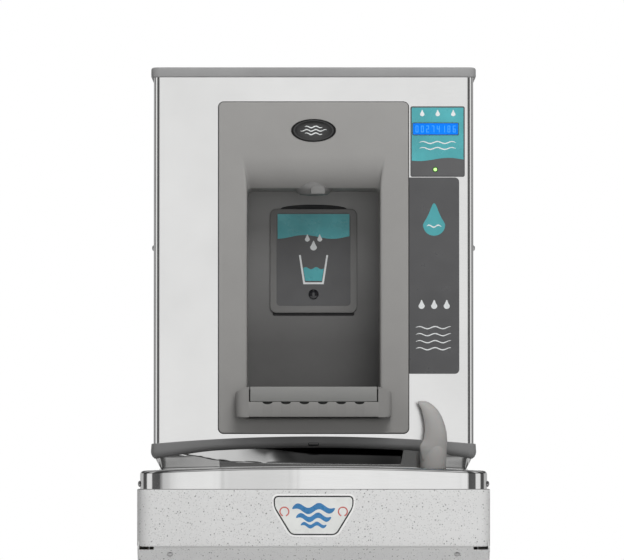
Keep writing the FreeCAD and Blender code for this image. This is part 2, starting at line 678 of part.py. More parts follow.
def slope_screw_hole(side):
    """The hole for one of the sloped panel's screws."""
    hole = doc.addObject("Part::Cylinder", f"slope_hole_{side}")
    bind(hole, "Radius", "screw_r + 0.1")
    hole.Height = 8
    return place(hole, slope_point(side, 3), Rotation(Vector(0, 0, 1), slope_direction()))


def cabinet_frame():
    """Rear frame with the two rails that carry the stainless top, and the wall hanger it hooks onto."""
    half = "cooler_w / 2"
    back = ("-back_gap - skin", "-back_gap")
    rear = block("rear_sheet", (f"2 - {half}", f"{half} - 2"), back,
                 (above("-cooler_h"), above("-apron_drop - 21")))
    opening = block("rear_opening", ("-hang_w / 2 - 5", "hang_w / 2 + 5"),
                    ("-back_gap - skin - 1", "1 - back_gap"),
                    (above("-slope_drop - 10"), "hang_h / 2"))
    gland = rod("rear_gland_hole", "Y", ("170", "-back_gap - skin - 1", above("-440")), "9", "4")
    rails = []
    reach = f"{half} - top_inset - skin - 0.2"
    y = ("-440", "-back_gap - skin")
    for side, upright, shelf in (("left", (f"-({reach})", f"1.5 - ({reach})"), (f"-({reach})", "-rail_x")),
                                 ("right", (f"{reach} - 1.5", reach), ("rail_x", reach))):
        rails.append(block(f"rail_{side}_web", upright, y, (above("-62"), above("-14"))))
        rails.append(block(f"rail_{side}_leg", shelf, y, (above("-62"), above("-60.5"))))
    holes = [rod(f"rail_hole{index}", "X", ("-cooler_w / 2", y, above("-22")), "screw_r + 0.1", "cooler_w")
             for index, y in enumerate(TOP_SCREW_Y)]
    node("cabinet_frame", cut("frame", fuse("frame_whole", rear, *rails), opening, gland, *holes))

    wide = ("-hang_w / 2", "hang_w / 2")
    plate_back = block("hanger_plate", wide, ("-hang_t", "0"), ("-hang_h / 2", "hang_h / 2"))
    shelf = block("hanger_shelf", wide, ("-back_gap - 6", "0"), ("hang_h / 2 - hang_t", "hang_h / 2"))
    lip = block("hanger_lip", wide, ("-back_gap - 6", "-back_gap - 6 + hang_t"),
                ("hang_h / 2 - hang_t", "hang_h / 2 + 13"))
    bolts = [rod(f"hanger_hole{i}{k}", "Y", (f"hang_pitch_x / 2 * {i}", "-hang_t - 1",
                                             f"hang_pitch_z / 2 * {k}"),
                 "hang_hole_r", "hang_t + 2") for i in (-1, 1) for k in (-1, 1)]
    node("wall_hanger", cut("hanger", fuse("hanger_whole", plate_back, shelf, lip), *bolts))
    node("power_gland", turned("gland", [("4", "-6"), ("13", "-6"), ("13", "-0.1"), ("8.8", "-0.1"),
                                         ("8.8", "1.3"),
                                         ("12", "1.3"), ("12", "7"), ("4", "7")],
                               ("170", "-back_gap - skin", above("-440")), "Y"))


def casing_screws():
    """Every dome-headed casing screw: stainless top, filler sides and sloped panel."""
    spots = []
    for sign, direction in (("-", Vector(1, 0, 0)), ("", Vector(-1, 0, 0))):
        for y in TOP_SCREW_Y:
            spots.append(((f"{sign}(cooler_w / 2 - top_inset + 0.02)", y, above("-22")), direction))
        for y in FILLER_SCREW_Y:
            spots.append(((f"{sign}(fill_x + 0.02)", y, above("side_screw_z")), direction))
    for side in ("left", "right"):
        spots.append((slope_point(side, 0.02), slope_direction()))
    screws = []
    for index, (at, direction) in enumerate(spots):
        shank = rod(f"screw_shank{index}", "Z", ("0", "0", "0"), "screw_r", "7")
        ball = doc.addObject("Part::Ellipsoid", f"screw_head{index}")
        bind(ball, "Radius1", "screw_r * 1.2")
        bind(ball, "Radius2", "screw_r * 1.9")
        bind(ball, "Radius3", "screw_r * 1.9")
        ball.Angle1 = -90
        ball.Angle2 = 0
        both = fuse(f"screw{index}", ball, shank)
        screws.append(place(both, at, Rotation(Vector(0, 0, 1), direction)))
    node("casing_screws", group("screws", screws))


# ---------------------------------------------------------------- bottle filler

def filler_box(name, grow, front, span, radius):
    """An upright box with the filler's plan, grown outward, its two front corners rounded."""
    half = f"fill_x + {grow}"
    return plate(name, "XY_Plane", rectangle((f"-({half})", half), (f"-({front})", "-1.6")), span, radius,
                 (0, 1))


def filler_casing():
    """Stainless wrap, cap, bottom trim and back plate."""
    outer = filler_box("wrap_outer", "0", "fill_d", (above("31"), above("cap_z + 7.5")), "fill_round")
    inner = plate("wrap_inner", "XY_Plane", rectangle(("skin - fill_x", "fill_x - skin"),
                                                      ("skin - fill_d", "0")),
                  (above("30"), above("cap_z + 9")), "fill_round - skin", (0, 1))
    doorway = block("wrap_doorway", ("10.5 - flange_x", "flange_x - 10.5"), ("-fill_d - 1", "-fill_d + 3"),
                    (above("flange_low + 10"), above("flange_high - 10")))
    window = block("wrap_window", ("disp_x + 3", "disp_x + disp_w - 5"), ("-fill_d - 1", "-fill_d + 3"),
                   (above("disp_low + 5"), above("disp_low + disp_h - 5")))
    holes = [rod(f"wrap_hole{index}", "X", ("-fill_x - 1", y, above("side_screw_z")), "screw_r + 0.1",
                 "fill_x * 2 + 2")
             for index, y in enumerate(FILLER_SCREW_Y)]
    node("filler_wrap", cut("wrap", outer, inner, doorway, window, *holes))

    hollow_x = ("-fill_x - 0.1", "fill_x + 0.1")
    lid = plate("cap_outer", "XY_Plane", rectangle(("-cap_x", "cap_x"), ("-fill_d - cap_over", "-1")),
                (above("cap_z"), above("cap_z + cap_h")), "4", (0, 1))
    hollow = plate("cap_inner", "XY_Plane", rectangle(hollow_x, ("-fill_d - 0.1", "-0.5")),
                   (above("cap_z - 1"), above("cap_z + cap_h - trim_t")), "fill_round", (0, 1))
    node("filler_cap", cut("cap", lid, hollow))

    ring = plate("trim_outer", "XY_Plane", rectangle(("-cap_x", "cap_x"), ("-fill_d - cap_over", "-1")),
                 (above("trim_z"), above("arch_top + trim_h + 1")), "fill_round + cap_over", (0, 1))
    drum = rod("trim_drum", "Y", ("0", "-fill_d - cap_over - 1", above("arch_top + trim_h - arch_r")),
               "arch_r", "fill_d + 6")
    core = plate("trim_inner", "XY_Plane", rectangle(hollow_x, ("-fill_d - 0.1", "0")),
                 (above("0"), above("60")), "fill_round", (0, 1))
    under_drum = rod("trim_under_drum", "Y", ("0", "-fill_d - cap_over - 2", above("arch_top - arch_r")),
                     "arch_r", "12")
    keel_x = "cap_x - 40"
    under = common("trim_under", under_drum, block("trim_under_zone", (f"-({keel_x})", keel_x),
                                                   ("-fill_d - cap_over - 2", "-fill_d + 6"),
                                                   (above("0"), above("30"))))
    outlet = block("trim_outlet", ("-6.5", "6.5"), ("-fill_d - cap_over - 1", "-fill_d + 1"),
                   (above("29"), above("32.4")))
    node("filler_trim", cut("trim", common("trim_arched", ring, drum), core, under, outlet))

    inside = "fill_x - skin - 0.1"
    sheet_back = block("back_sheet", (f"-({inside})", inside), ("-1.5", "0"),
                       (above("30"), above("cap_z + 7")))
    rails = [block(f"back_rail_{side}", span, ("-90", "-1.5"), (above("45"), above("cap_z - 5")))
             for side, span in (("left", (f"-({inside})", f"-({inside}) + 1.4")),
                                ("right", (f"{inside} - 1.4", inside)))]
    holes = [rod(f"back_hole{i}{k}", "Y", (f"{i * 180}", "-3", above(f"280 + {k * 210}")), "3.5", "4")
             for i in (-1, 1) for k in (-1, 1)]
    pins = [rod(f"back_pin{index}", "X", ("-fill_x", y, above("side_screw_z")), "screw_r + 0.1",
                "fill_x * 2")
            for index, y in enumerate(FILLER_SCREW_Y)]
    node("filler_back_plate", cut("back_plate", fuse("back_whole", sheet_back, *rails), *holes, *pins))


def hood_space(name, face, radius, low):
    """What lies behind the hood's roll and above a level, as a part of a drum and a block."""
    wide = ("-alcove_x - 5", "alcove_x + 5")
    axis_y = f"{face} + hood_r"
    high = above("hood_top + 1")
    drum = rod(name + "_drum", "X", ("-alcove_x - 5", axis_y, above("hood_top")), radius,
               "alcove_x * 2 + 10")
    front = block(name + "_front", wide, (f"{face} - 2", axis_y), (low, high))
    rear = block(name + "_rear", wide, (f"{axis_y} - 1", "-alcove_y + 5"), (low, high))
    return common(name + "_roll", drum, front), rear


def alcove():
    """The moulded flange and alcove, its drip tray and grate."""
    face = "-fill_d - flange_t"
    flange = plate("alcove_flange", "XZ_Plane", rectangle(("-flange_x", "flange_x"),
                                                          (above("flange_low"), above("flange_high"))),
                   (face, "-fill_d"), "flange_r")
    floor = above("tray_low - 0.3")
    inside = block("alcove_room", ("-alcove_x", "alcove_x"), (f"{face} - 1", "-alcove_y"),
                   (floor, above("hood_top")))
    cavity = cut("alcove_hollow", inside, *hood_space("hood", face, "hood_r", above("alcove_top")))
    outside = block("alcove_case", ("-alcove_x - alcove_t", "alcove_x + alcove_t"),
                    ("-fill_d", "alcove_t - alcove_y"), (f"{floor} - alcove_t", above("hood_top")))
    walls = cut("alcove_walls", outside, *hood_space("hood_back", face, "hood_r - alcove_t",
                                                     above("alcove_top + alcove_t")))
    eye = rod("alcove_eye", "Y", ("0", "-alcove_y - 2", above("eye_z")), "eye_r + 0.2", "8")
    pipe = rod("alcove_pipe_hole", "Z", ("0", "-nozzle_y", above("alcove_top - 1")), "6", "6")
    spout = rod("alcove_spout_hole", "Z", ("0", "-196", above("tray_low - 10")), "7", "20")
    seat = rod("alcove_nozzle_seat", "Z", ("0", "-nozzle_y", above("alcove_top - 1")), "nozzle_top_r + 0.1",
               "nozzle_seat - alcove_top + 1.1")
    node("alcove_moulding", cut("moulding", fuse("moulding_whole", flange, walls), cavity, eye, pipe,
                                seat, spout))

    out = "-fill_d - tray_out"
    low, high = above("tray_low"), above("tray_high")
    front = block("tray_front", ("-tray_x", "tray_x"), (out, f"{face} - 0.1"), (low, high))
    rear = block("tray_rear", ("0.3 - alcove_x", "alcove_x - 0.3"), (f"{face} - 0.1", "-alcove_y - 0.3"),
                 (low, high))
    well = block("tray_well", ("4 - grate_x", "grate_x - 4"), (f"{out} + 6", "-alcove_y - 5"),
                 (above("tray_low + 3"), f"{high} + 1"))
    play = "grate_gap"
    seat_x = (f"-grate_x - {play}", f"grate_x + {play}")
    seat = block("tray_seat", seat_x, (f"{out} - 1", "-alcove_y - 3"),
                 (above("tray_high - 4.4"), f"{high} + 1"))
    bib = block("tray_bib", seat_x, (f"{out} - 1", f"{out} + 4.4"), (above(f"grate_low - {play}"),
                                                                     f"{high} + 1"))
    notches = [rod(f"tray_notch{index}", "Y", (f"notch_pitch * {index - 2.5}", f"{out} - 1",
                                               above(f"grate_low - {play}")),
                   "notch_r", "9") for index in range(6)]
    drain = rod("tray_outlet", "Z", ("0", "-196", above("34")), "4.5", "60")
    tube = rod("tray_tube", "Z", ("0", "-196", above("36")), "6", "33")
    tray = fuse("tray_whole", front, rear)
    node("drip_tray", cut("tray", fuse("tray_piped", cut("tray_hollow", tray, well, seat, bib, *notches),
                                       tube), drain))

    top = block("grate_top", ("-grate_x", "grate_x"), (f"{out} + 4", f"-alcove_y - 3 - {play}"),
                (above("tray_high - 4"), high))
    lip = block("grate_lip", ("-grate_x", "grate_x"), (out, f"{out} + 4"), (above("grate_low"), high))
    slots = [block(f"grate_slot{i}_{k}", (f"{-76 + i * 80}", f"{-4 + i * 80}"),
                   (f"-alcove_y - 22 - {k * 11}", f"-alcove_y - 17 - {k * 11}"),
                   (above("tray_high - 5"), f"{high} + 1")) for i in (0, 1) for k in range(10)]
    node("drip_grate", cut("grate", fuse("grate_whole", top, lip), *slots))


def filler_face():
    """What the user sees on the filler: nozzle, sensor pad, badge, display and labels."""
    boss = cone("nozzle_cone", "Z", ("0", "-nozzle_y", above("nozzle_z")), "nozzle_r", "nozzle_top_r",
                "alcove_top - nozzle_z")
    base = rod("nozzle_base", "Z", ("0", "-nozzle_y", above("alcove_top")), "nozzle_top_r",
               "nozzle_seat - alcove_top")
    mouth = rod("nozzle_mouth", "Z", ("0", "-nozzle_y", above("nozzle_z - 1")), "9", "4")
    feed = rod("nozzle_feed", "Z", ("0", "-nozzle_y", above("nozzle_z")), "4", "60")
    inlet = rod("nozzle_inlet", "Z", ("0", "-nozzle_y", above("alcove_top - 1")), "5.8", "33")
    node("nozzle_boss", cut("nozzle", fuse("nozzle_whole", boss, base, inlet), mouth, feed))

    back = "-alcove_y"
    eye = [rod(f"{name}_eye", "Y", ("0", "-alcove_y - 8", above("eye_z")), "eye_r + 0.2",
               "10") for name in ("pad", "card")]
    pad = plate("pad_plate", "XZ_Plane", rectangle(("-pad_x", "pad_x"),
                                                   (above("pad_low"), above("pad_high"))),
                (f"{back} - pad_t", back), "6")
    node("sensor_pad", cut("pad", pad, eye[0]))
    card = plate("card_film", "XZ_Plane", rectangle(("-card_x", "card_x"),
                                                    (above("card_low"), above("card_high"))),
                 (f"{back} - pad_t - film", f"{back} - pad_t"), "5", (0, 1))
    node("pad_label", cut("card", card, eye[1]))
    node("sensor_window", rod("window_disc", "Y", ("0", f"{back} - pad_t - film * 2", above("eye_z")),
                              "eye_r", "pad_t + film * 2 + 5"))
    node("bottle_sensor", block("sensor_box", ("-16", "16"), (f"{back} + 5.1", f"{back} + 24"),
                                (above("eye_z - 12"), above("eye_z + 12"))))

    face = "-fill_d - flange_t"
    oval = doc.addObject("Part::Ellipsoid", "badge_dome")
    bind(oval, "Radius1", "badge_half_h")
    bind(oval, "Radius2", "badge_x")
    bind(oval, "Radius3", "badge_t")
    place(oval, ("0", face, above("badge_z")))
    half_space = block("badge_zone", ("-badge_x - 2", "badge_x + 2"), (f"{face} - 5", face),
                       (above("badge_z - badge_half_h - 2"), above("badge_z + badge_half_h + 2")))
    node("badge", common("badge_oval", oval, half_space))

    glass = block("lcd_hole", ("lcd_x - 0.2", "lcd_x + lcd_w + 0.2"), ("-fill_d - 3", "-fill_d + 3"),
                  (above("lcd_low - 0.2"), above("lcd_low + lcd_h + 0.2")))
    lamp = rod("led_hole", "Y", ("led_x", "-fill_d - 3", above("led_z")), "led_r + 0.1", "6")
    sheet_front = plate("display_sheet", "XZ_Plane", rectangle(("disp_x", "disp_x + disp_w"),
                                                               (above("disp_low"),
                                                                above("disp_low + disp_h"))),
                        ("-fill_d - disp_t", "-fill_d"), "3")
    node("display_panel", cut("display_front", sheet_front, glass, lamp))
    node("display_window", block("lcd", ("lcd_x", "lcd_x + lcd_w"),
                                 ("-fill_d - disp_t + 0.3", "-fill_d + 6"),
                                 (above("lcd_low"), above("lcd_low + lcd_h"))))
    card_back = block("display_card", ("disp_x + 6", "disp_x + disp_w - 6"),
                      ("-fill_d + 6", "-fill_d + 7.6"),
                      (above("disp_low + 6"), above("disp_low + disp_h - 6")))
    led = rod("led", "Y", ("led_x", "-fill_d - disp_t - 0.4", above("led_z")), "led_r", "disp_t + 6.4")
    node("display_board", fuse("display_circuit", card_back, led))
    node("label_strip", plate("strip_film", "XZ_Plane", rectangle(("strip_x", "strip_x + strip_w"),
                                                                  (above("strip_low"),
                                                                   above("strip_low + strip_h"))),
                              ("-fill_d - film", "-fill_d"), "6", (1, 2)))


def solenoid(label, x, y, z):
    """A solenoid valve and its plunger: valve block and tube, a coil round the tube, a plunger inside."""
    base = block(label + "_block", (f"{x} - 20", f"{x} + 20"), (f"{y} - 13", f"{y} + 13"), (z, f"{z} + 24"))
    tube = rod(label + "_tube", "Z", (x, y, f"{z} + 20"), "core_r + 2.5", "44")
    coil = rod(label + "_coil", "Z", (x, y, f"{z} + 26"), "17", "32")
    bore = rod(label + "_bore", "Z", (x, y, f"{z} + 12"), "core_r + core_fit", "50")
    node(label, cut(label + "_hollow", fuse(label + "_whole", base, tube, coil), bore))
    plunger = turned(label + "_core", [("0", "0"), ("core_r - 1.5", "0"), ("core_r", "2"),
                                       ("core_r", "34"), ("0", "34")],
                     (x, y, f"{z} + 12.2"))
    node(label.replace("valve", "plunger"), plunger)


def filler_works():
    """Inside the filler: solenoid valve, control board and water tube."""
    solenoid("filler_valve", "-165", "-100", above("296"))
    board = block("board_card", ("-205", "-115"), ("-30", "-28.4"), (above("120"), above("220")))
    chips = [block(f"board_chip{index}", (f"{x}", f"{x + 22}"), ("-42", "-30"),
                   (above(str(z)), above(f"{z + 18}")))
             for index, (x, z) in enumerate(((-198, 130), (-168, 130), (-145, 180), (-198, 185)))]
    posts = [rod(f"board_post{i}{k}", "Y", (f"{-200 + i * 80}", "-28.4", above(f"{125 + k * 90}")), "3",
                 "26.9")
             for i in (0, 1) for k in (0, 1)]
    node("filler_board", fuse("board", board, *chips, *posts))


# ---------------------------------------------------------------- refrigeration, power and water

def refrigeration():
    """Compressor on rubber mounts, condenser with its fan, and the chilled tank."""
    floor = above("-cooler_h + 1.5")
    shell = turned("comp_shell", [("0", "3"), ("comp_r - 8", "3"), ("comp_r", "14"),
                                  ("comp_r", "comp_h - 34"),
                                  ("comp_r - 7", "comp_h - 14"), ("comp_r - 26", "comp_h - 2"),
                                  ("0", "comp_h")],
                   ("comp_x", "-comp_y", f"{floor} + foot_h"))
    feet = block("comp_feet", ("comp_x - 74", "comp_x + 74"), ("-comp_y - 50", "-comp_y + 50"),
                 (f"{floor} + foot_h", f"{floor} + foot_h + 4"))
    box = block("comp_terminals", ("comp_x + comp_r - 8", "comp_x + comp_r + 14"),
                ("-comp_y - 20", "-comp_y + 20"),
                (f"{floor} + foot_h + 40", f"{floor} + foot_h + 85"))
    node("compressor", fuse("compressor_whole", shell, feet, box))
    node("compressor_mounts", group("mounts", [
        rod(f"mount{i}{k}", "Z", (f"comp_x + {i * 60}", f"{k * 40} - comp_y", floor), "9", "foot_h - 0.1")
        for i in (-1, 1) for k in (-1, 1)]))

    low, high = above("-482"), above("-322")
    wide = ("coil_x", "coil_x + coil_w")
    core = block("coil_core", wide, ("-low_d + 12", "-low_d + 12 + coil_t"), (low, high))
    bends = [rod(f"coil_bend{index}", "Y", ("coil_x + coil_w", "-low_d + 20",
                                            above(f"{-466 + index * 26}")), "5", "22")
             for index in range(6)]
    node("condenser_coil", fuse("condenser", core, *bends))
    fan_x, fan_z = "coil_x + coil_w / 2", above("-402")
    shroud = block("shroud_box", wide, ("-low_d + 12.2 + coil_t", "-low_d + 30 + coil_t"), (low, high))
    throat = rod("shroud_throat", "Y", (fan_x, "-low_d", fan_z), "fan_r + 3", "200")
    arms = fuse("shroud_arms",
                block("arm_strip", ("coil_x + 6", "coil_x + coil_w - 6"),
                      ("-low_d + 40 + coil_t", "-low_d + 43 + coil_t"),
                      (f"{fan_z} - 11", f"{fan_z} + 11")),
                *[block(f"arm_leg{index}", span, ("-low_d + 30 + coil_t", "-low_d + 40 + coil_t"),
                        (f"{fan_z} - 11", f"{fan_z} + 11"))
                  for index,
                  span in enumerate((("coil_x + 6", "coil_x + 10"),
                                     ("coil_x + coil_w - 10", "coil_x + coil_w - 6")))])
    shaft_gap = rod("arm_hole", "Y", (fan_x, "-low_d", fan_z), "fan_shaft_r + 2", "200")
    node("fan_shroud", fuse("shroud", cut("shroud_open", shroud, throat),
                            cut("arms_open", arms, shaft_gap)))
    motor = rod("motor_can", "Y", (fan_x, "-low_d + 43.1 + coil_t", fan_z), "32", "50")
    node("fan_motor", cut("motor", motor, rod("motor_bore", "Y", (fan_x, "-low_d", fan_z),
                                              "fan_shaft_r + 0.05", "125")))
    shaft = rod("fan_shaft", "Y", (fan_x, "-low_d + 14.5 + coil_t", fan_z), "fan_shaft_r", "66")
    hub = rod("fan_hub", "Y", (fan_x, "-low_d + 15 + coil_t", fan_z), "17", "13")
    blades = []
    for index in range(5):
        blade = doc.addObject("Part::Box", f"blade{index}")
        blade.Length = 34
        blade.Width = 1.6
        bind(blade, "Height", "fan_r - 10")
        turn = Rotation(Vector(0, 1, 0), index * 72).multiply(Rotation(Vector(0, 0, 1), 20))
        corner = turn.multVec(Vector(-17, -0.8, 8))
        blades.append(place(blade, (f"{fan_x} + ({corner.x:.4f})",
                                    f"-low_d + 21.5 + coil_t + ({corner.y:.4f})",
                                    f"{fan_z} + ({corner.z:.4f})"), turn))
    rim = rod("fan_reach", "Y", (fan_x, "-low_d + coil_t", fan_z), "fan_r", "60")
    swept_blades = common("fan_blades", fuse("blade_set", *blades), rim)
    node("fan_rotor", fuse("fan", hub, swept_blades, shaft))

    tank_low, tank_high = "-296", "-90"
    tank = turned("tank_shell", [("0", tank_low), ("tank_r - 8", tank_low), ("tank_r", f"{tank_low} + 10"),
                                 ("tank_r", f"{tank_high} - 10"), ("tank_r - 8", tank_high),
                                 ("0", tank_high)],
                  ("tank_x", "-tank_y", "rim_z"))
    coils = []
    for index in range(7):
        ring = doc.addObject("Part::Torus", f"evaporator{index}")
        bind(ring, "Radius1", "tank_r + 2.5")
        ring.Radius2 = 3
        coils.append(place(ring, ("tank_x", "-tank_y", above(f"{-276 + index * 26}"))))
    room = turned("tank_room", [("0", f"{tank_low} + tank_t"), ("tank_r - 8", f"{tank_low} + tank_t"),
                                ("tank_r - tank_t", f"{tank_low} + 10"),
                                ("tank_r - tank_t", f"{tank_high} - 10"),
                                ("tank_r - 8", f"{tank_high} - tank_t"), ("0", f"{tank_high} - tank_t")],
                  ("tank_x", "-tank_y", "rim_z"))
    node("chiller_tank", cut("tank", fuse("tank_whole", tank, *coils), room))
    foam = rod("foam_outer", "Z", ("tank_x", "-tank_y", above("-310")), "foam_r", "235")
    pocket = rod("foam_inner", "Z", ("tank_x", "-tank_y", above("-297")), "tank_r + 5.7", "209")
    node("tank_insulation", cut("foam", foam, pocket))

    lines = [
        [("comp_x", "-comp_y", f"{floor} + foot_h + comp_h + 0.2"), ("comp_x", "-comp_y", above("-310.2"))],
        [("comp_x + comp_r + 14.2", "-150", above("-425")), ("-20", "-150", above("-425")),
         ("-20", "-150", above("-335")),
         ("-20", "-270", above("-335")), ("coil_x - 0.2", "-270", above("-335"))],
        [("coil_x - 0.2", "-262", above("-472")), ("-5", "-262", above("-472")),
         ("-5", "-262", above("-290")),
         ("-5", "-150", above("-290")), ("-61", "-150", above("-290"))],
    ]
    solids = [swept(points, 3.2, 9) for points in lines]
    drier = Part.makeCylinder(9, 80, Vector(-5, -262, size(above("-450"))))
    solids[2] = solids[2].fuse(drier)
    piping = doc.addObject("Part::Feature", "refrigerant")
    piping.Shape = Part.makeCompound(solids)
    piping.Placement = Placement()
    node("refrigerant_lines", piping)


def controls():
    """Thermostat with its stem, the power box, and the filter with its head."""
    at = ("-25", "-90", above("-375"))
    body = block("stat_box", ("-45", "-5"), ("-90", "-60"), (above("-395"), above("-355")))
    bore = rod("stat_bore", "Y", (at[0], "-91", at[2]), "3.05", "21")
    node("thermostat", cut("stat", body, bore))
    stem = rod("stat_stem_bar", "Y", (at[0], "-102", at[2]), "3", "31")
    knob = rod("stat_knob", "Y", (at[0], "-112", at[2]), "9", "12")
    slot = block("stat_slot", ("-35", "-15"), ("-113", "-110"), (f"{at[2]} - 1", f"{at[2]} + 1"))
    node("thermostat_stem", cut("stat_stem", fuse("stat_stem_whole", stem, knob), slot))
    box = block("power_outer", ("20", "140"), ("-84", "-14"), (above("-484"), above("-384")))
    room = block("power_inner", ("22", "138"), ("-82", "-16"), (above("-482"), above("-386")))
    core = block("power_core", ("40", "100"), ("-70", "-16"), (above("-482"), above("-427")))
    node("power_box", fuse("power", cut("power_shell", box, room), core))

    low = "-292"
    cartridge = turned("cart", [("0", low), ("cart_r - 6", low), ("cart_r", f"{low} + 6"),
                                ("cart_r", "-122"),
                                ("cart_r - 8", "-114"), ("14", "-112"), ("14", "-98"), ("0", "-98")],
                       ("cart_x", "-cart_y", "rim_z"))
    node("filter_cartridge", cartridge)
    head = turned("head", [("14.05", "-110"), ("cart_r + 2", "-110"), ("cart_r + 2", "-84"),
                           ("cart_r - 6", "-76"),
                           ("0", "-76"), ("0", "-97"), ("14.05", "-97")], ("cart_x", "-cart_y", "rim_z"))
    node("filter_head", head)


def water():
    """Bubbler valve, flow regulator with its screw, and the water lines."""
    solenoid("bubbler_valve", "90", "-200", above("-124"))
    bore = rod("reg_bore", "Y", ("bub_x", "-bub_y - 17", above("-100")), "3.05", "14")
    node("flow_regulator", cut("regulator", block("reg_block", ("bub_x - 18", "bub_x + 18"),
                                                  ("-bub_y - 16", "-bub_y + 16"),
                                                  (above("-113"), above("-83.2"))), bore))
    shank = rod("reg_shank", "Y", ("bub_x", "-bub_y - 22", above("-100")), "3", "18")
    head = rod("reg_head", "Y", ("bub_x", "-bub_y - 28", above("-100")), "6", "8")
    slot = block("reg_slot", ("bub_x - 7", "bub_x + 7"), ("-bub_y - 29", "-bub_y - 26"),
                 (above("-100.8"), above("-99.2")))
    node("regulator_screw", cut("reg_screw", fuse("reg_screw_whole", shank, head), slot))
    runs = [
        [("cart_x - cart_r - 2.3", "-cart_y", above("-98")), ("-58", "-cart_y", above("-98"))],
        [("-55.5", "-130", above("-112")), ("20", "-130", above("-112")), ("20", "-200", above("-112")),
         ("69.8", "-200", above("-112"))],
        [("110.2", "-200", above("-112")), ("bub_x", "-200", above("-112")),
         ("bub_x", "-bub_y + 16.2", above("-112"))],
        [("-165", "-100", above("-74.8")), ("-165", "-100", above("295.8"))],
        [("-144.8", "-100", above("308")), ("-112", "-100", above("308")), ("-112", "-100", above("440")),
         ("0", "-100", above("440")), ("0", "-nozzle_y", above("440")),
         ("0", "-nozzle_y", above("alcove_top + 32.3"))],
        [("cart_x", "-cart_y + cart_r + 2.3", above("-95")), ("cart_x", "-30", above("-95")),
         ("cart_x", "-30", above("-300"))],
    ]
    tubing("water_lines", runs, "line_r", "line_r - 1", "12")


def check_and_write():
    """Stops at any failed object, then writes each sub-part to its own STEP file."""
    doc.recompute()
    for obj in doc.Objects:
        if {"Invalid", "Error"} & set(obj.State):
            raise RuntimeError(f"{obj.Name} did not compute: {obj.State}")
    os.makedirs("parts", exist_ok=True)
    for label, obj in NODES.items():
        shape = obj.Shape
        if shape.isNull() or not shape.isValid() or not shape.Solids:
            raise RuntimeError(f"{label} has no valid solid")
        shape.exportStep(f"parts/{label}.step")
        print(f"{label}: {len(shape.Solids)} solid(s), {shape.Volume / 1000:.2f} cm3")


basin_top()
top_fittings()
apron_parts()
cabinet()
cabinet_frame()
casing_screws()
filler_casing()
alcove()
filler_face()
filler_works()
refrigeration()
controls()
water()
check_and_write()
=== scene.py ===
"""Dresses the wall-hung drinking fountain: its visible surfaces, finishes, lights and camera.

Sizes in the classes are millimetres in the part's own frame: +X to the user's right, the front faces -Y, +Z
up, and the wall is the plane Y = 0. Meshes are put into the scene in metres.
"""

import json
import logging
import math
from collections.abc import Sequence
from dataclasses import dataclass, replace
from enum import Enum

import bmesh
import bpy
import numpy as np
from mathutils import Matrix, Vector


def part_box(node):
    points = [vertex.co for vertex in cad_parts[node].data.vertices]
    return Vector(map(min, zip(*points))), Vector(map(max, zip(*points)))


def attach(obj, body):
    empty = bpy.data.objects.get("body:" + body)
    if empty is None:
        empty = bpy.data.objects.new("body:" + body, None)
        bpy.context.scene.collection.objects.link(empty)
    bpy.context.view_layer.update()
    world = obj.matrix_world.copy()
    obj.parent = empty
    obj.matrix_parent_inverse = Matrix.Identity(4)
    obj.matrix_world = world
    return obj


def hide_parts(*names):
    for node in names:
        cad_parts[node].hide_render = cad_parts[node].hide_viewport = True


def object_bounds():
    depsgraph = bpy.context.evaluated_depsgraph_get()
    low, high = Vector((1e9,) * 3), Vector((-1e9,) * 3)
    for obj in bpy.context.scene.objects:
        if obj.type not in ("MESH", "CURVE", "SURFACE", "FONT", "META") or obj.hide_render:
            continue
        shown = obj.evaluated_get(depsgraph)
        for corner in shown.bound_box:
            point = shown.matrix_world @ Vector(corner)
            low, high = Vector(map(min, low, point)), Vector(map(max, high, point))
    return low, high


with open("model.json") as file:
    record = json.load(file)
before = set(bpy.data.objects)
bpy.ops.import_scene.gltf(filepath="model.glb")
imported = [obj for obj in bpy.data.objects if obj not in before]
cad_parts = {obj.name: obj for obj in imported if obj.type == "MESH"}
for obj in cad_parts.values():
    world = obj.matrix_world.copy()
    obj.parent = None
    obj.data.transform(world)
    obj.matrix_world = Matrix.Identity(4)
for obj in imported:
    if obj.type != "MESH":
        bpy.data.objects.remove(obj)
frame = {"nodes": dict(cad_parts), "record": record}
CAD_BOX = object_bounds()

LOG = logging.getLogger("fountain")
MM = 0.001
Array = np.ndarray
Socket = bpy.types.NodeSocket
Thing = bpy.types.Object
Pair = tuple[float, float]
Triple = tuple[float, float, float]
Floats = tuple[float, ...]
Pairs = tuple[Pair, ...]


# ---- measures

def reach(node: str) -> tuple[Array, Array]:
    """The box of a CAD node.

    Args:
        node: the node's name.
    Returns:
        Its lowest and highest corners, in millimetres.
    """
    low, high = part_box(node)
    return np.array(low) / MM, np.array(high) / MM


def owner(node: str) -> str:
    """The body that a CAD node rides on."""
    bodies = frame["record"]["behaviour"]["bodies"]
    return next(body for body, members in bodies.items() if node in members)


def slot_of(node: str) -> str:
    """The material slot that the record gives a CAD node."""
    return next(part["material_slot"] for part in frame["record"]["subparts"] if part["node"] == node)


APRON_BELOW_RIM = 28.6
RIM = float(reach("apron")[1][2]) + APRON_BELOW_RIM


# ---- curves

def abreast(*columns: Array) -> Array:
    """Arrays of one shape set side by side along a new last axis."""
    return np.stack(columns, axis=-1)


def arc(centre: Pair, radius: float, start: float, stop: float, count: int) -> Array:
    """Points on a circle's arc: centre plus radius times (cos, sin) of evenly spaced angles in degrees.

    Args:
        centre: the circle's centre.
        radius: its radius.
        start: first angle.
        stop: last angle.
        count: number of points, both ends included.
    Returns:
        An array of count × 2.
    """
    turn = np.radians(np.linspace(start, stop, count))
    return abreast(centre[0] + radius * np.cos(turn), centre[1] + radius * np.sin(turn))


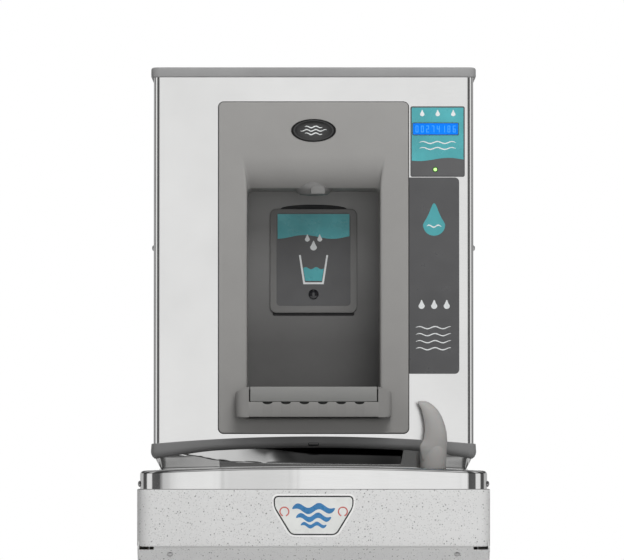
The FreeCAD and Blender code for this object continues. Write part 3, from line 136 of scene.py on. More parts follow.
def line(first: Pair, last: Pair, count: int) -> Array:
    """Evenly spaced points on a straight run, both ends included."""
    return np.linspace(first, last, count)


def chained(*runs: Array) -> Array:
    """Runs of points set end to end; a point that repeats the last one is dropped."""
    points = np.concatenate(runs)
    step = np.linalg.norm(np.diff(points, axis=0), axis=1)
    return points[np.concatenate([[True], step > 1e-7])]


def spaced(path: Array, shares: Array) -> Array:
    """Points at given shares of a polyline's length.

    Args:
        path: the polyline, n × k.
        shares: shares of its length, from 0 to 1.
    Returns:
        One point for each share: each coordinate is interpolated against the length run so far.
    """
    run = np.concatenate([[0.0], np.cumsum(np.linalg.norm(np.diff(path, axis=0), axis=1))])
    return np.stack([np.interp(shares * run[-1], run, path[:, axis]) for axis in range(path.shape[1])], axis=-1)


def rounded_loop(x: Pair, y: Pair, radii: Sequence[float],
                 turn: int = 8, sides: tuple[int, int] = (1, 1)) -> Array:
    """A closed rectangle with rounded corners, anticlockwise from the lower left.

    Args:
        x: low and high ends across.
        y: low and high ends upward.
        radii: corner radii, lower left, lower right, upper right, upper left.
        turn: segments in each corner.
        sides: segments in each level side and in each upright side.
    Returns:
        n × 2 points; the loop closes from the last to the first.
    """
    centres = [(x[0], y[0], 1, 1), (x[1], y[0], -1, 1), (x[1], y[1], -1, -1), (x[0], y[1], 1, -1)]
    corners = []
    for (east, north, right, up), radius, start in zip(centres, radii, (180, 270, 0, 90)):
        radius = max(radius, 1e-3)
        corners.append(arc((east + right * radius, north + up * radius), radius, start, start + 90, turn + 1))
    runs = []
    for number, corner in enumerate(corners):
        runs += [line(corners[number - 1][-1], corner[0], sides[(number + 1) % 2] + 1)[:-1], corner[:-1]]
    return np.concatenate(runs[2:] + runs[:2])


def u_rail(half: float, front: float, side_ys: Array, radius: float, turn: int, across: int) -> Array:
    """An open U in plan: down the left side, round the corner, along the front and back up the right side.

    Args:
        half: half width.
        front: the front's y.
        side_ys: y of each point on the left side, from the back to where the corner starts.
        radius: corner radius.
        turn: segments in each corner.
        across: segments along the front.
    Returns:
        n × 2 points.
    """
    left = abreast(np.full(len(side_ys), -half), side_ys)
    near = max(radius, 1e-3)
    bend = arc((-half + near, front + near), near, 180, 270, turn + 1)
    flat = line((-half + near, front), (half - near, front), across + 1)
    return u_shaped(left, bend, flat)


def u_shaped(left: Array, bend: Array, flat: Array) -> Array:
    """A left side, a left corner and a front, followed by the corner and the side mirrored."""
    mirror = np.array([-1.0, 1.0])
    return np.concatenate([left, bend[1:], flat[1:-1], (bend * mirror)[::-1], (left * mirror)[::-1][1:]])


def lifted(plan: Array, height: float | Array) -> Array:
    """Plan points (x, y) given a height, as (x, y, z)."""
    return np.concatenate([plan, np.broadcast_to(height, plan.shape[:1])[:, None]], axis=1)


def upright(loop: Array, depth: float | Array) -> Array:
    """Elevation points (x, z) given a depth y, as (x, y, z)."""
    return abreast(loop[:, 0], np.broadcast_to(depth, loop.shape[:1]), loop[:, 1])


def arched(x: Array, radius: float) -> Array:
    """How far an arch of a radius lies below its crest at x: the root of radius² less x², less the radius."""
    return np.sqrt(radius ** 2 - np.asarray(x) ** 2) - radius


def eased(value: Array, low: float, high: float) -> Array:
    """A smooth step from 0 at low to 1 at high: 3t² - 2t³ of the clipped share."""
    share = np.clip((np.asarray(value, float) - low) / (high - low), 0, 1)
    return share * share * (3 - 2 * share)


def rolled(depth: Array, radius: float) -> Array:
    """How far a quarter-round edge stands off at a depth behind its face: radius less the circle's height."""
    left = np.clip(radius - np.asarray(depth, float), 0, radius)
    return radius - np.sqrt(radius ** 2 - left ** 2)


def circle(radius: float | Pair, count: int, centre: Pair = (0, 0)) -> Array:
    """Evenly spaced points once round a circle or, with two radii, an ellipse."""
    turn = np.linspace(0, 2 * np.pi, count + 1)[:-1]
    wide, high = np.broadcast_to(radius, 2)
    return abreast(centre[0] + wide * np.cos(turn), centre[1] + high * np.sin(turn))


def plate_loop(x: Pair, z: Pair, radius: float, inset: float = 0.0, turn: int = 4,
               sides: tuple[int, int] = (1, 1)) -> Array:
    """A rounded rectangle at heights over the rim, its edges moved inward and its corners tightened by inset."""
    return rounded_loop((x[0] + inset, x[1] - inset), (RIM + z[0] + inset, RIM + z[1] - inset), (radius - inset,) * 4,
                        turn, sides)


# ---- finishes

class Grain(Enum):
    """The kinds of surface that the finishes are made of."""

    BRUSHED = "fine lines of a polished sheet"
    MOULDED = "matt texture of a moulded plastic"
    POWDER = "orange peel of a baked powder coat with dark and light specks"
    PRINTED = "ink on a smooth film"
    SPANGLED = "crystals of a zinc coat"
    CAST = "uneven skin of a cast or dipped piece"
    DRAWN = "lines along a drawn tube"
    FOAMED = "cells of a rigid foam"


class Bench:
    """A node tree with short calls for the nodes that the finishes and the surround share."""

    def __init__(self, tree: bpy.types.NodeTree, coordinates: str) -> None:
        """Empties the tree and reads one kind of texture coordinates."""
        self.tree = tree
        tree.nodes.clear()
        self.coords = self.add("TexCoord").outputs[coordinates]
        self.normal: Socket | None = None

    def add(self, kind: str, **settings: object) -> bpy.types.Node:
        """Adds a node and sets its properties."""
        made = self.tree.nodes.new(f"ShaderNode{kind}")
        for key, value in settings.items():
            setattr(made, key, value)
        return made

    def put(self, target: Socket, value: object) -> None:
        """Feeds an input from a socket, or gives it a value."""
        if isinstance(value, Socket):
            self.tree.links.new(value, target)
        else:
            target.default_value = value

    def noise(self, size_mm: float, detail: float = 2.0, stretch: Sequence[float] = (1, 1, 1)) -> Socket:
        """Cloudy noise, from 0 to 1.

        Args:
            size_mm: rough size of a cloud.
            detail: octaves.
            stretch: factor on each axis; a large one makes the clouds thin that way.
        Returns:
            The value's socket.
        """
        place = self.add("Mapping")
        place.inputs["Scale"].default_value = stretch
        self.put(place.inputs["Vector"], self.coords)
        made = self.add("TexNoise")
        for key, value in (("Scale", 1 / (size_mm * MM)), ("Detail", detail), ("Vector", place.outputs["Vector"])):
            self.put(made.inputs[key], value)
        return made.outputs["Fac"]

    def cells(self, size_mm: float) -> bpy.types.Node:
        """Cells of a rough size, as a Voronoi node."""
        made = self.add("TexVoronoi")
        made.inputs["Scale"].default_value = 1 / (size_mm * MM)
        self.put(made.inputs["Vector"], self.coords)
        return made

    def ranged(self, value: Socket, low: float, high: float, to_low: float = 0.0, to_high: float = 1.0) -> Socket:
        """A value carried from one range to another, clipped."""
        made = self.add("MapRange")
        keys = ("Value", "From Min", "From Max", "To Min", "To Max")
        for key, level in zip(keys, (value, low, high, to_low, to_high)):
            self.put(made.inputs[key], level)
        return made.outputs["Result"]

    def axis(self, index: int) -> Socket:
        """One of the coordinates."""
        split = self.add("SeparateXYZ")
        self.put(split.inputs[0], self.coords)
        return split.outputs[index]

    def along(self, places: Array, levels: Array) -> Socket:
        """A level between 0 and 1 by place across the object, in mm, on a smooth curve through the pairs."""
        curve = self.add("FloatCurve")
        points = curve.mapping.curves[0].points
        shares = (places - places[0]) / np.ptp(places)
        points[0].location, points[1].location = (shares[0], levels[0]), (shares[-1], levels[-1])
        for share, level in zip(shares[1:-1], levels[1:-1]):
            points.new(share, level)
        curve.mapping.update()
        self.put(curve.inputs["Value"], self.ranged(self.axis(0), places[0] * MM, places[-1] * MM))
        return curve.outputs[0]

    def maths(self, operation: str, *values: object) -> Socket:
        """Sockets and numbers put through a Math node."""
        made = self.add("Math", operation=operation)
        for target, value in zip(made.inputs, values):
            self.put(target, value)
        return made.outputs[0]

    def mixed(self, amount: object, first: object, second: object, blend: str = "MIX") -> Socket:
        """Two colours blended by an amount; each is a colour or a socket."""
        made = self.add("Mix", data_type="RGBA", blend_type=blend)
        self.put(made.inputs[0], amount)
        for index, colour in ((6, first), (7, second)):
            self.put(made.inputs[index], colour if isinstance(colour, Socket) else (*colour, 1))
        return made.outputs[2]

    def bumped(self, height: Socket, depth_mm: float) -> None:
        """Turns a height into a bump, over any bump already there."""
        made = self.add("Bump")
        for key, value in (("Strength", 1.0), ("Distance", depth_mm * MM), ("Height", height)):
            self.put(made.inputs[key], value)
        if self.normal is not None:
            self.put(made.inputs["Normal"], self.normal)
        self.normal = made.outputs["Normal"]


# how sharp an edge is where its wear starts and where it is full
WORN_EDGE = (0.53, 0.62)
# each kind of speck: cell in mm, disc's share of it, how few cells have one, its shade, its strength
SPECKS = ((4.6, 0.23, 0.52, 0.2, 0.85), (3.8, 0.24, 0.55, 1.2, 0.5), (2.4, 0.32, 0.55, 0.5, 0.6),
          (1.6, 0.34, 0.5, 1.2, 0.5))


@dataclass(frozen=True)
class Finish:
    """How one material of the fountain looks.

    colour is linear; drift is how far it wanders, over drift_mm; grain_mm and depth_mm size the surface
    texture; scuff is how much the roughness varies; worn lightens convex edges. press is how a pressed face
    leans to the side, as places across it in mm and slopes in degrees. tone is the colour's factor at
    places across it in mm. fade is an axis, two distances along it in mm, and the colour's factor at each.
    tone and fade paint shade and reflections into the colour.
    """

    name: str
    colour: Triple
    roughness: float
    grain: Grain
    metallic: float = 0.0
    drift: float = 0.05
    drift_mm: float = 60.0
    grain_mm: float = 0.6
    depth_mm: float = 0.02
    scuff: float = 0.06
    worn: float = 0.0
    coat: float = 0.0
    glow: float = 0.0
    soft: float = 0.0
    specular: float = 0.5
    press: Pairs = ()
    tone: Pairs = ()
    fade: tuple[int, float, float, float, float] | None = None

    def shade(self, factor: float) -> Triple:
        """The colour made lighter or darker."""
        return tuple(min(channel * factor, 1.0) for channel in self.colour)

    def material(self) -> bpy.types.Material:
        """The finish as a material, made once."""
        name = f"finish_{self.name}"
        if name in bpy.data.materials:
            return bpy.data.materials[name]
        made = bpy.data.materials.new(name)
        made.use_nodes = True
        bench = Bench(made.node_tree, "Object")
        shader = bench.add("BsdfPrincipled")
        bench.put(bench.add("OutputMaterial").inputs["Surface"], shader.outputs["BSDF"])
        colour = bench.mixed(self.cloud(bench, 1.0, 3), self.shade(1 - self.drift), self.shade(1 + self.drift))
        colour = self.placed(bench, self.textured(bench, colour))
        if self.press:
            self.pressed(bench)
        if self.worn:
            edge = bench.add("NewGeometry").outputs["Pointiness"]
            colour = bench.mixed(bench.ranged(edge, *WORN_EDGE, 0, self.worn), colour, self.shade(1.5))
        rough = self.cloud(bench, 0.35, 4, max(self.roughness - self.scuff, 0.02), self.roughness + self.scuff)
        fed = {"Base Color": colour, "Roughness": rough, "Metallic": self.metallic, "Coat Weight": self.coat,
               "Coat Roughness": 0.08, "Specular IOR Level": self.specular, "Subsurface Weight": self.soft,
               "Subsurface Scale": 0.002, "Emission Strength": self.glow}
        if self.glow:
            fed["Emission Color"] = colour
        if bench.normal is not None:
            fed["Normal"] = bench.normal
        for key, value in fed.items():
            bench.put(shader.inputs[key], value)
        return made

    def cloud(self, bench: Bench, share: float, detail: float, low: float = 0.0, high: float = 1.0) -> Socket:
        """Clouds of a share of the drift's size, from low to high."""
        return bench.ranged(bench.noise(self.drift_mm * share, detail), 0.3, 0.7, low, high)

    def pressed(self, bench: Bench) -> None:
        """Bumps the face by the height that the sideways slopes of press add up to."""
        places, slopes = np.array(self.press).T
        fine = np.linspace(places[0], places[-1], 41)
        rise = np.tan(np.radians(np.interp(fine, places, slopes)))
        heights = np.concatenate([[0], np.cumsum((rise[1:] + rise[:-1]) / 2 * np.diff(fine))])
        span = float(np.ptp(heights))
        bench.bumped(bench.along(fine, (heights - heights.min()) / span), span)

    def placed(self, bench: Bench, colour: Socket) -> Socket:
        """Painted shade and reflection: the colour times its factor by place, fade to both sides of the object's
        middle, tone across it.
        """
        if self.fade:
            axis, near, far, first, last = self.fade
            away = bench.maths("ABSOLUTE", bench.axis(axis))
            colour = bench.mixed(1.0, colour, bench.ranged(away, near * MM, far * MM, first, last), "MULTIPLY")
        if self.tone:
            colour = bench.mixed(1.0, colour, bench.along(*np.array(self.tone).T), "MULTIPLY")
        return colour

    def textured(self, bench: Bench, colour: Socket) -> Socket:
        """Adds the grain's bump, and what it does to the colour."""
        size, depth = self.grain_mm, self.depth_mm
        if self.grain is Grain.BRUSHED:
            lines = bench.noise(size, 3, (0.02, 0.02, 1))
            bench.bumped(lines, depth)
            return bench.mixed(bench.ranged(lines, 0.35, 0.65, 0, 0.5), colour, self.shade(0.94))
        if self.grain is Grain.DRAWN:
            bench.bumped(bench.noise(size, 2, (1, 1, 0.05)), depth)
            return bench.mixed(bench.ranged(bench.noise(14, 4), 0.5, 0.72, 0, 0.55), colour, self.shade(0.62))
        if self.grain is Grain.POWDER:
            bench.bumped(bench.noise(size, 2), depth)
            return self.specked(bench, colour)
        if self.grain is Grain.PRINTED:
            bench.bumped(bench.noise(size, 1), depth)
            return colour
        cells = bench.cells(size if self.grain in (Grain.SPANGLED, Grain.FOAMED) else size * 1.6).outputs
        if self.grain is Grain.SPANGLED:
            return bench.mixed(cells["Color"], self.shade(0.72), self.shade(1.18))
        if self.grain is Grain.FOAMED:
            bench.bumped(cells["Distance"], depth)
            return bench.mixed(bench.ranged(bench.noise(30, 3), 0.45, 0.7, 0, 0.5), colour, self.shade(0.7))
        bench.bumped(bench.maths("ADD", bench.noise(size, 3), cells["Distance"]), depth)
        return bench.mixed(bench.ranged(bench.noise(size * 1.3, 2), 0.3, 0.7, 0, 0.35), colour, self.shade(0.86))

    def specked(self, bench: Bench, colour: Socket) -> Socket:
        """Scatters dark and light specks: small discs in some cells of Voronoi patterns."""
        for size, radius, low, tint, amount in SPECKS:
            cell = bench.cells(size).outputs
            disc = bench.ranged(cell["Distance"], radius * 0.6, radius, amount, 0)
            chosen = bench.ranged(cell["Color"], low, low + 0.02)
            colour = bench.mixed(bench.maths("MULTIPLY", disc, chosen), colour, self.shade(tint))
        return colour


def moulded(name: str, grey: float | Triple, roughness: float, grain_mm: float = 0.45, depth_mm: float = 0.03,
            **more: object) -> Finish:
    """A moulded plastic; a single number for its colour is an even grey."""
    return Finish(name, (grey,) * 3 if isinstance(grey, float) else grey, roughness, Grain.MOULDED,
                  grain_mm=grain_mm, depth_mm=depth_mm, **more)


def printed(name: str, colour: float | Triple, roughness: float, grain_mm: float, depth_mm: float = 0.004,
            **more: object) -> Finish:
    """A film or an ink."""
    return replace(moulded(name, colour, roughness, grain_mm, depth_mm, **more), grain=Grain.PRINTED)


def metal(name: str, colour: float | Triple, roughness: float, grain: Grain, grain_mm: float, depth_mm: float = 0.01,
          **more: object) -> Finish:
    """A bare metal."""
    return replace(moulded(name, colour, roughness, grain_mm, depth_mm, **{"metallic": 1.0, **more}), grain=grain)


STAINLESS = metal("polished_stainless", (0.79, 0.79, 0.785), 0.11, Grain.BRUSHED, 0.35, 0.0012, drift=0.03,
                  drift_mm=160, scuff=0.02)
NECK_STEEL = replace(STAINLESS, name="drawn_stainless", roughness=0.09)
# painted shade and reflection: the neck's hollow under the filler is darkened across x by tone
PAINTED_SHADE_HOLLOW_STEEL = replace(NECK_STEEL, name="shaded_stainless",
                       tone=((-230, 0.85), (-100, 0.8), (-62, 0.62), (-25, 0.2), (5, 0.08), (60, 0.07), (112, 0.05),
                             (119, 0.08), (122, 0.9), (230, 0.9)))
PRESSED_STEEL = replace(NECK_STEEL, name="pressed_stainless",
                        press=((-230, 0), (-207, 0), (-202, 2.7), (-190, 1.6), (-172, 0.2), (-134, 0), (-128, -1.7),
                               (-118, -2.3), (-60, -2.1), (-22, -1.7), (-6, 0), (60, 0), (75, 1.0), (95, 1.2),
                               (118, 0), (170, 0), (186, 1.6), (201, 2.2), (230, 0)))
GREY_PLASTIC = moulded("warm_grey_plastic", (0.315, 0.309, 0.30), 0.5, depth_mm=0.035, drift=0.03, worn=0.25)
TRAY_PLASTIC = replace(GREY_PLASTIC, name="tray_plastic", colour=(0.278, 0.273, 0.265))
# painted shade: near black for the shaded tub under the grate
PAINTED_SHADE_WELL_PLASTIC = replace(GREY_PLASTIC, name="painted_shade_plastic", colour=(0.022, 0.022, 0.022), worn=0.0)
# painted shade: the alcove's back wall darkens towards its foot by fade
PAINTED_SHADE_BACK_PLASTIC = moulded("shaded_grey_plastic", (0.30, 0.297, 0.293), 0.6, drift=0.03, fade=(2, 290, 490, 0.40, 1.0))
PAD_PLASTIC = moulded("pad_plastic", (0.20, 0.198, 0.194), 0.5, drift=0.03)
GRATE_PLASTIC = moulded("grate_plastic", (0.27, 0.27, 0.262), 0.48, drift=0.03, worn=0.3)
# painted reflection: the trim darkens towards its middle by fade, for the dark bowl it mirrors
TRIM_PLASTIC_PAINTED_REFLECTION = moulded("trim_plastic", 0.222, 0.42, 0.5, worn=0.2, fade=(0, 30, 190, 0.48, 1.0))
CAP_PLASTIC = moulded("cap_plastic", 0.29, 0.45, 0.5, worn=0.2)
GUARD_RUBBER = moulded("guard_elastomer", (0.395, 0.385, 0.375), 0.55, 0.4, 0.02, soft=0.08)
VALVE_PLASTIC = moulded("valve_plastic", (0.05, 0.052, 0.055), 0.45, 0.6)
WHITE_PLASTIC = moulded("white_plastic", (0.74, 0.74, 0.72), 0.4, 0.7, 0.02)
# black rubber for the rubber parts; also the painted shadow over and under the sensor pad
RUBBER_AND_SHADOW = moulded("black_rubber_and_shadow", (0.022, 0.022, 0.023), 0.65, 0.8, 0.04)
# painted shadow: near black for the shadow line round the flange and the shade in the trim's outlet
PAINTED_SHADOW_BLACK = replace(RUBBER_AND_SHADOW, name="painted_shadow_black", colour=(0.006, 0.006, 0.006), roughness=0.8, specular=0.1)
GRANITE = Finish("granite_powder_coat", (0.70, 0.70, 0.695), 0.42, Grain.POWDER, grain_mm=0.9, depth_mm=0.05,
                 drift=0.02, drift_mm=90, coat=0.1)
# painted shadow: the granite darkened for the line under the steel top's skirt
SHADOW_LINE_COAT = replace(GRANITE, name="shadow_line_granite", colour=GRANITE.shade(0.3))
DARK_FILM = printed("dark_grey_film", (0.082, 0.082, 0.084), 0.32, 1.5, 0.006)
PAD_FILM = printed("pad_film", (0.10, 0.10, 0.102), 0.4, 1.5, 0.006, drift=0.06)
TEAL_INK = printed("teal_ink", (0.075, 0.37, 0.40), 0.3, 1.2, drift=0.12, drift_mm=45)
PALE_INK = printed("pale_ink", (0.72, 0.74, 0.74), 0.35, 0.9)
WHITE_FILM = printed("white_film", (0.86, 0.86, 0.85), 0.3, 1.4, 0.005, drift=0.02)
LABEL_FIELD = printed("label_field", (0.74, 0.75, 0.73), 0.3, 1.2, drift=0.06, drift_mm=30)
BLACK_INK = printed("black_ink", (0.018, 0.018, 0.019), 0.32, 0.8, drift=0.1)
BLUE_INK = printed("blue_ink", (0.035, 0.19, 0.42), 0.3, 0.9, drift=0.1, drift_mm=20)
RED_INK = printed("red_ink", (0.52, 0.13, 0.11), 0.3, 0.9, drift=0.1, drift_mm=20)
ENAMEL = printed("badge_enamel", 0.012, 0.2, 2.0, drift=0.15, coat=0.6)
ENAMEL_RIM = printed("badge_rim", 0.004, 0.5, 0.8, drift=0.2)
LCD = printed("lit_blue_lcd", (0.002, 0.14, 0.60), 0.12, 0.6, 0.002, drift=0.08, drift_mm=22, glow=0.55, specular=0.08)
LCD_DIGIT = printed("lit_digits", (0.05, 0.27, 0.90), 0.2, 0.5, 0.002, glow=0.6, specular=0.08)
LED_GREEN = printed("green_lamp", (0.45, 0.95, 0.25), 0.2, 0.5, 0.002, drift=0.1, drift_mm=2, glow=0.9)
LED_WELL = printed("green_lamp_well", (0.02, 0.09, 0.012), 0.3, 0.5, drift=0.1)
DARK_LENS = printed("dark_lens", (0.012, 0.012, 0.014), 0.08, 2.0, 0.002, drift=0.2, coat=0.8)
PALE_FLOOR = printed("pale_floor", 0.82, 0.7, 40, 0.1, drift=0.01)
ZINC = metal("galvanised_sheet", (0.52, 0.53, 0.54), 0.38, Grain.SPANGLED, 7.0, metallic=0.9)
FINS = metal("aluminium_fins", (0.62, 0.63, 0.64), 0.35, Grain.BRUSHED, 1.8, 0.15)
TANK_STEEL = metal("tank_steel", (0.62, 0.62, 0.61), 0.25, Grain.BRUSHED, 0.8)
COPPER = metal("drawn_copper", (0.72, 0.30, 0.16), 0.28, Grain.DRAWN, 0.8, drift=0.1)
BRASS = metal("machined_brass", (0.70, 0.50, 0.20), 0.25, Grain.DRAWN, 0.5, drift=0.08)
SCREW_STEEL = metal("screw_steel", 0.55, 0.12, Grain.DRAWN, 0.5, drift=0.1)
BLACK_STEEL = Finish("black_enamelled_steel", (0.02, 0.02, 0.021), 0.32, Grain.CAST, grain_mm=3.5, depth_mm=0.08,
                     coat=0.3, worn=0.3)
FOAM = Finish("rigid_foam", (0.62, 0.50, 0.28), 0.8, Grain.FOAMED, grain_mm=2.2, depth_mm=0.4, drift=0.12)
CIRCUIT = Finish("green_circuit", (0.02, 0.13, 0.05), 0.35, Grain.SPANGLED, grain_mm=5.0, drift=0.1)

SLOT_FINISH = {
    "stainless": STAINLESS, "grey_plastic": GREY_PLASTIC, "grate_plastic": GRATE_PLASTIC, "trim_plastic": TRIM_PLASTIC_PAINTED_REFLECTION,
    "guard_elastomer": GUARD_RUBBER, "granite_coat": GRANITE, "label_print": DARK_FILM, "badge_enamel": ENAMEL,
    "lcd": LCD, "dark_lens": DARK_LENS, "galvanised": ZINC, "rubber": RUBBER_AND_SHADOW, "black_steel": BLACK_STEEL,
    "fins": FINS, "tank_steel": TANK_STEEL, "foam": FOAM, "copper": COPPER, "brass": BRASS,
    "valve_plastic": VALVE_PLASTIC, "white_plastic": WHITE_PLASTIC, "circuit": CIRCUIT,
}
NODE_FINISH = {"casing_screws": SCREW_STEEL}


# ---- meshes

class Skin:
    """Gathers grids and flat faces, in millimetres, and puts them into the scene as one piece."""

    def __init__(self) -> None:
        """Starts with nothing."""
        self.points: list[Array] = []
        self.faces: list[tuple[int, ...]] = []
        self.tags: list[int] = []
        self.count = 0

    def add(self, points: Array | Sequence[Array]) -> Array:
        """Adds points; returns their numbers in the same layout."""
        flat = np.asarray(points, float).reshape(-1, 3)
        numbers = np.arange(self.count, self.count + len(flat))
        self.points.append(flat)
        self.count += len(flat)
        return numbers.reshape(np.shape(points)[:-1])

    def grid(self, points: Array | Sequence[Array], wrap: bool = False, tag: int | Array = 0,
             keep: Array | None = None) -> Array:
        """Joins rows and columns of points into four-sided faces.

        Args:
            points: rows × columns × 3.
            wrap: whether the last column joins the first.
            tag: the finish's number, one for all cells or one for each row of cells.
            keep: which cells are kept, one flag each.
        Returns:
            The points' numbers, rows × columns.
        """
        numbers = self.add(points)
        near = numbers if wrap else numbers[:, :-1]
        far = np.roll(numbers, -1, axis=1) if wrap else numbers[:, 1:]
        cells = abreast(near[:-1], far[:-1], far[1:], near[1:])
        keep = np.full(cells.shape[:2], True) if keep is None else keep
        self.faces.extend(map(tuple, cells[keep].tolist()))
        self.tags.extend(np.broadcast_to(np.reshape(tag, (-1, 1)), cells.shape[:2])[keep].tolist())
        return numbers

    def face(self, numbers: Array, tag: int = 0) -> None:
        """Closes a ring of points with one flat face."""
        self.faces.append(tuple(int(number) for number in numbers))
        self.tags.append(tag)

    def lofted(self, rings: Array | Sequence[Array], tag: int = 0) -> None:
        """A closed body through rings of equal length, its ends closed with flat faces."""
        numbers = self.grid(rings, wrap=True, tag=tag)
        self.face(numbers[0][::-1], tag)
        self.face(numbers[-1], tag)

    def prism(self, outline: Array, back: float, front: float, tag: int = 0) -> None:
        """A flat body with an elevation outline (x, z), between two depths y."""
        self.lofted([upright(outline, back), upright(outline, front)], tag)

    def ring(self, outer: Array, inner: Array, back: float, front: float, tag: int = 0) -> None:
        """A flat body between two elevation outlines of equal length: the four rings round its section."""
        corners = ((outer, back), (outer, front), (inner, front), (inner, back), (outer, back))
        self.grid([upright(outline, depth) for outline, depth in corners], wrap=True, tag=tag)

    def piece(self, name: str, finishes: Sequence[Finish], wall: float = 0.0, soft_edge: float = 0.0,
              crease: float = 32.0, up: Sequence[float] | None = None,
              away: Sequence[float] | None = None) -> Thing:
        """Makes the mesh and its object.

        Args:
            name: the piece's name.
            finishes: the finishes that the tags number.
            wall: thickness of a sheet, laid inward of its faces; 0 for a closed body.
            soft_edge: width of a small round on sharp edges.
            crease: edges that turn by more degrees than this stay sharp.
            up: a direction that an open sheet's faces look along on the whole.
            away: a point that an open sheet's faces look away from on the whole.
        Returns:
            The object, at the origin, its modifiers applied.
        """
        mesh = bpy.data.meshes.new(name)
        mesh.from_pydata((np.concatenate(self.points) * MM).tolist(), [], self.faces)
        mesh.polygons.foreach_set("material_index", self.tags)
        for finish in finishes:
            mesh.materials.append(finish.material())
        self.turned_out(mesh, up, away)
        piece = bpy.data.objects.new(name, mesh)
        bpy.context.scene.collection.objects.link(piece)
        sheet = {"thickness": wall * MM, "offset": -1, "use_even_offset": True, "use_quality_normals": True}
        round_off = {"width": soft_edge * MM, "segments": 2, "limit_method": "ANGLE", "angle_limit": math.radians(40),
                     "use_clamp_overlap": True}
        for wanted, kind, settings in ((wall, "SOLIDIFY", sheet), (soft_edge, "BEVEL", round_off)):
            if wanted:
                modifier = piece.modifiers.new(kind.lower(), kind)
                for key, value in settings.items():
                    setattr(modifier, key, value)
        if wall or soft_edge:
            graph = bpy.context.evaluated_depsgraph_get()
            finished = bpy.data.meshes.new_from_object(piece.evaluated_get(graph))
            piece.modifiers.clear()
            piece.data = finished
            finished.name = name
        piece.data.shade_smooth()
        piece.data.set_sharp_from_angle(angle=math.radians(crease))
        return piece

    @staticmethod
    def turned_out(mesh: bpy.types.Mesh, up: Sequence[float] | None, away: Sequence[float] | None) -> None:
        """Merges doubled points and turns the faces outward."""
        work = bmesh.new()
        work.from_mesh(mesh)
        bmesh.ops.remove_doubles(work, verts=work.verts, dist=2e-6)
        bmesh.ops.dissolve_degenerate(work, edges=work.edges, dist=1e-6)
        bmesh.ops.recalc_face_normals(work, faces=work.faces)
        if up is not None or away is not None:
            work.normal_update()
            total = 0.0
            for item in work.faces:
                look = Vector(up) if up is not None else item.calc_center_median() - Vector(away) * MM
                total += item.calc_area() * item.normal.dot(look)
            if total < 0:
                bmesh.ops.reverse_faces(work, faces=work.faces)
        work.to_mesh(mesh)
        work.free()


stood_for: set[str] = set()


def settle(piece: Thing, *nodes: str) -> Thing:
    """Lets a piece stand for CAD nodes: it rides on their body and hides them."""
    stood_for.update(nodes)
    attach(piece, owner(nodes[0]))
    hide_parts(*nodes)
    LOG.info("%s stands for %s", piece.name, ", ".join(nodes))
    return piece


def join_on(piece: Thing, node: str) -> Thing:
    """Lets an extra piece ride with a CAD node."""
    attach(piece, owner(node))
    LOG.info("%s rides with %s", piece.name, node)
    return piece


# ---- the pressed top

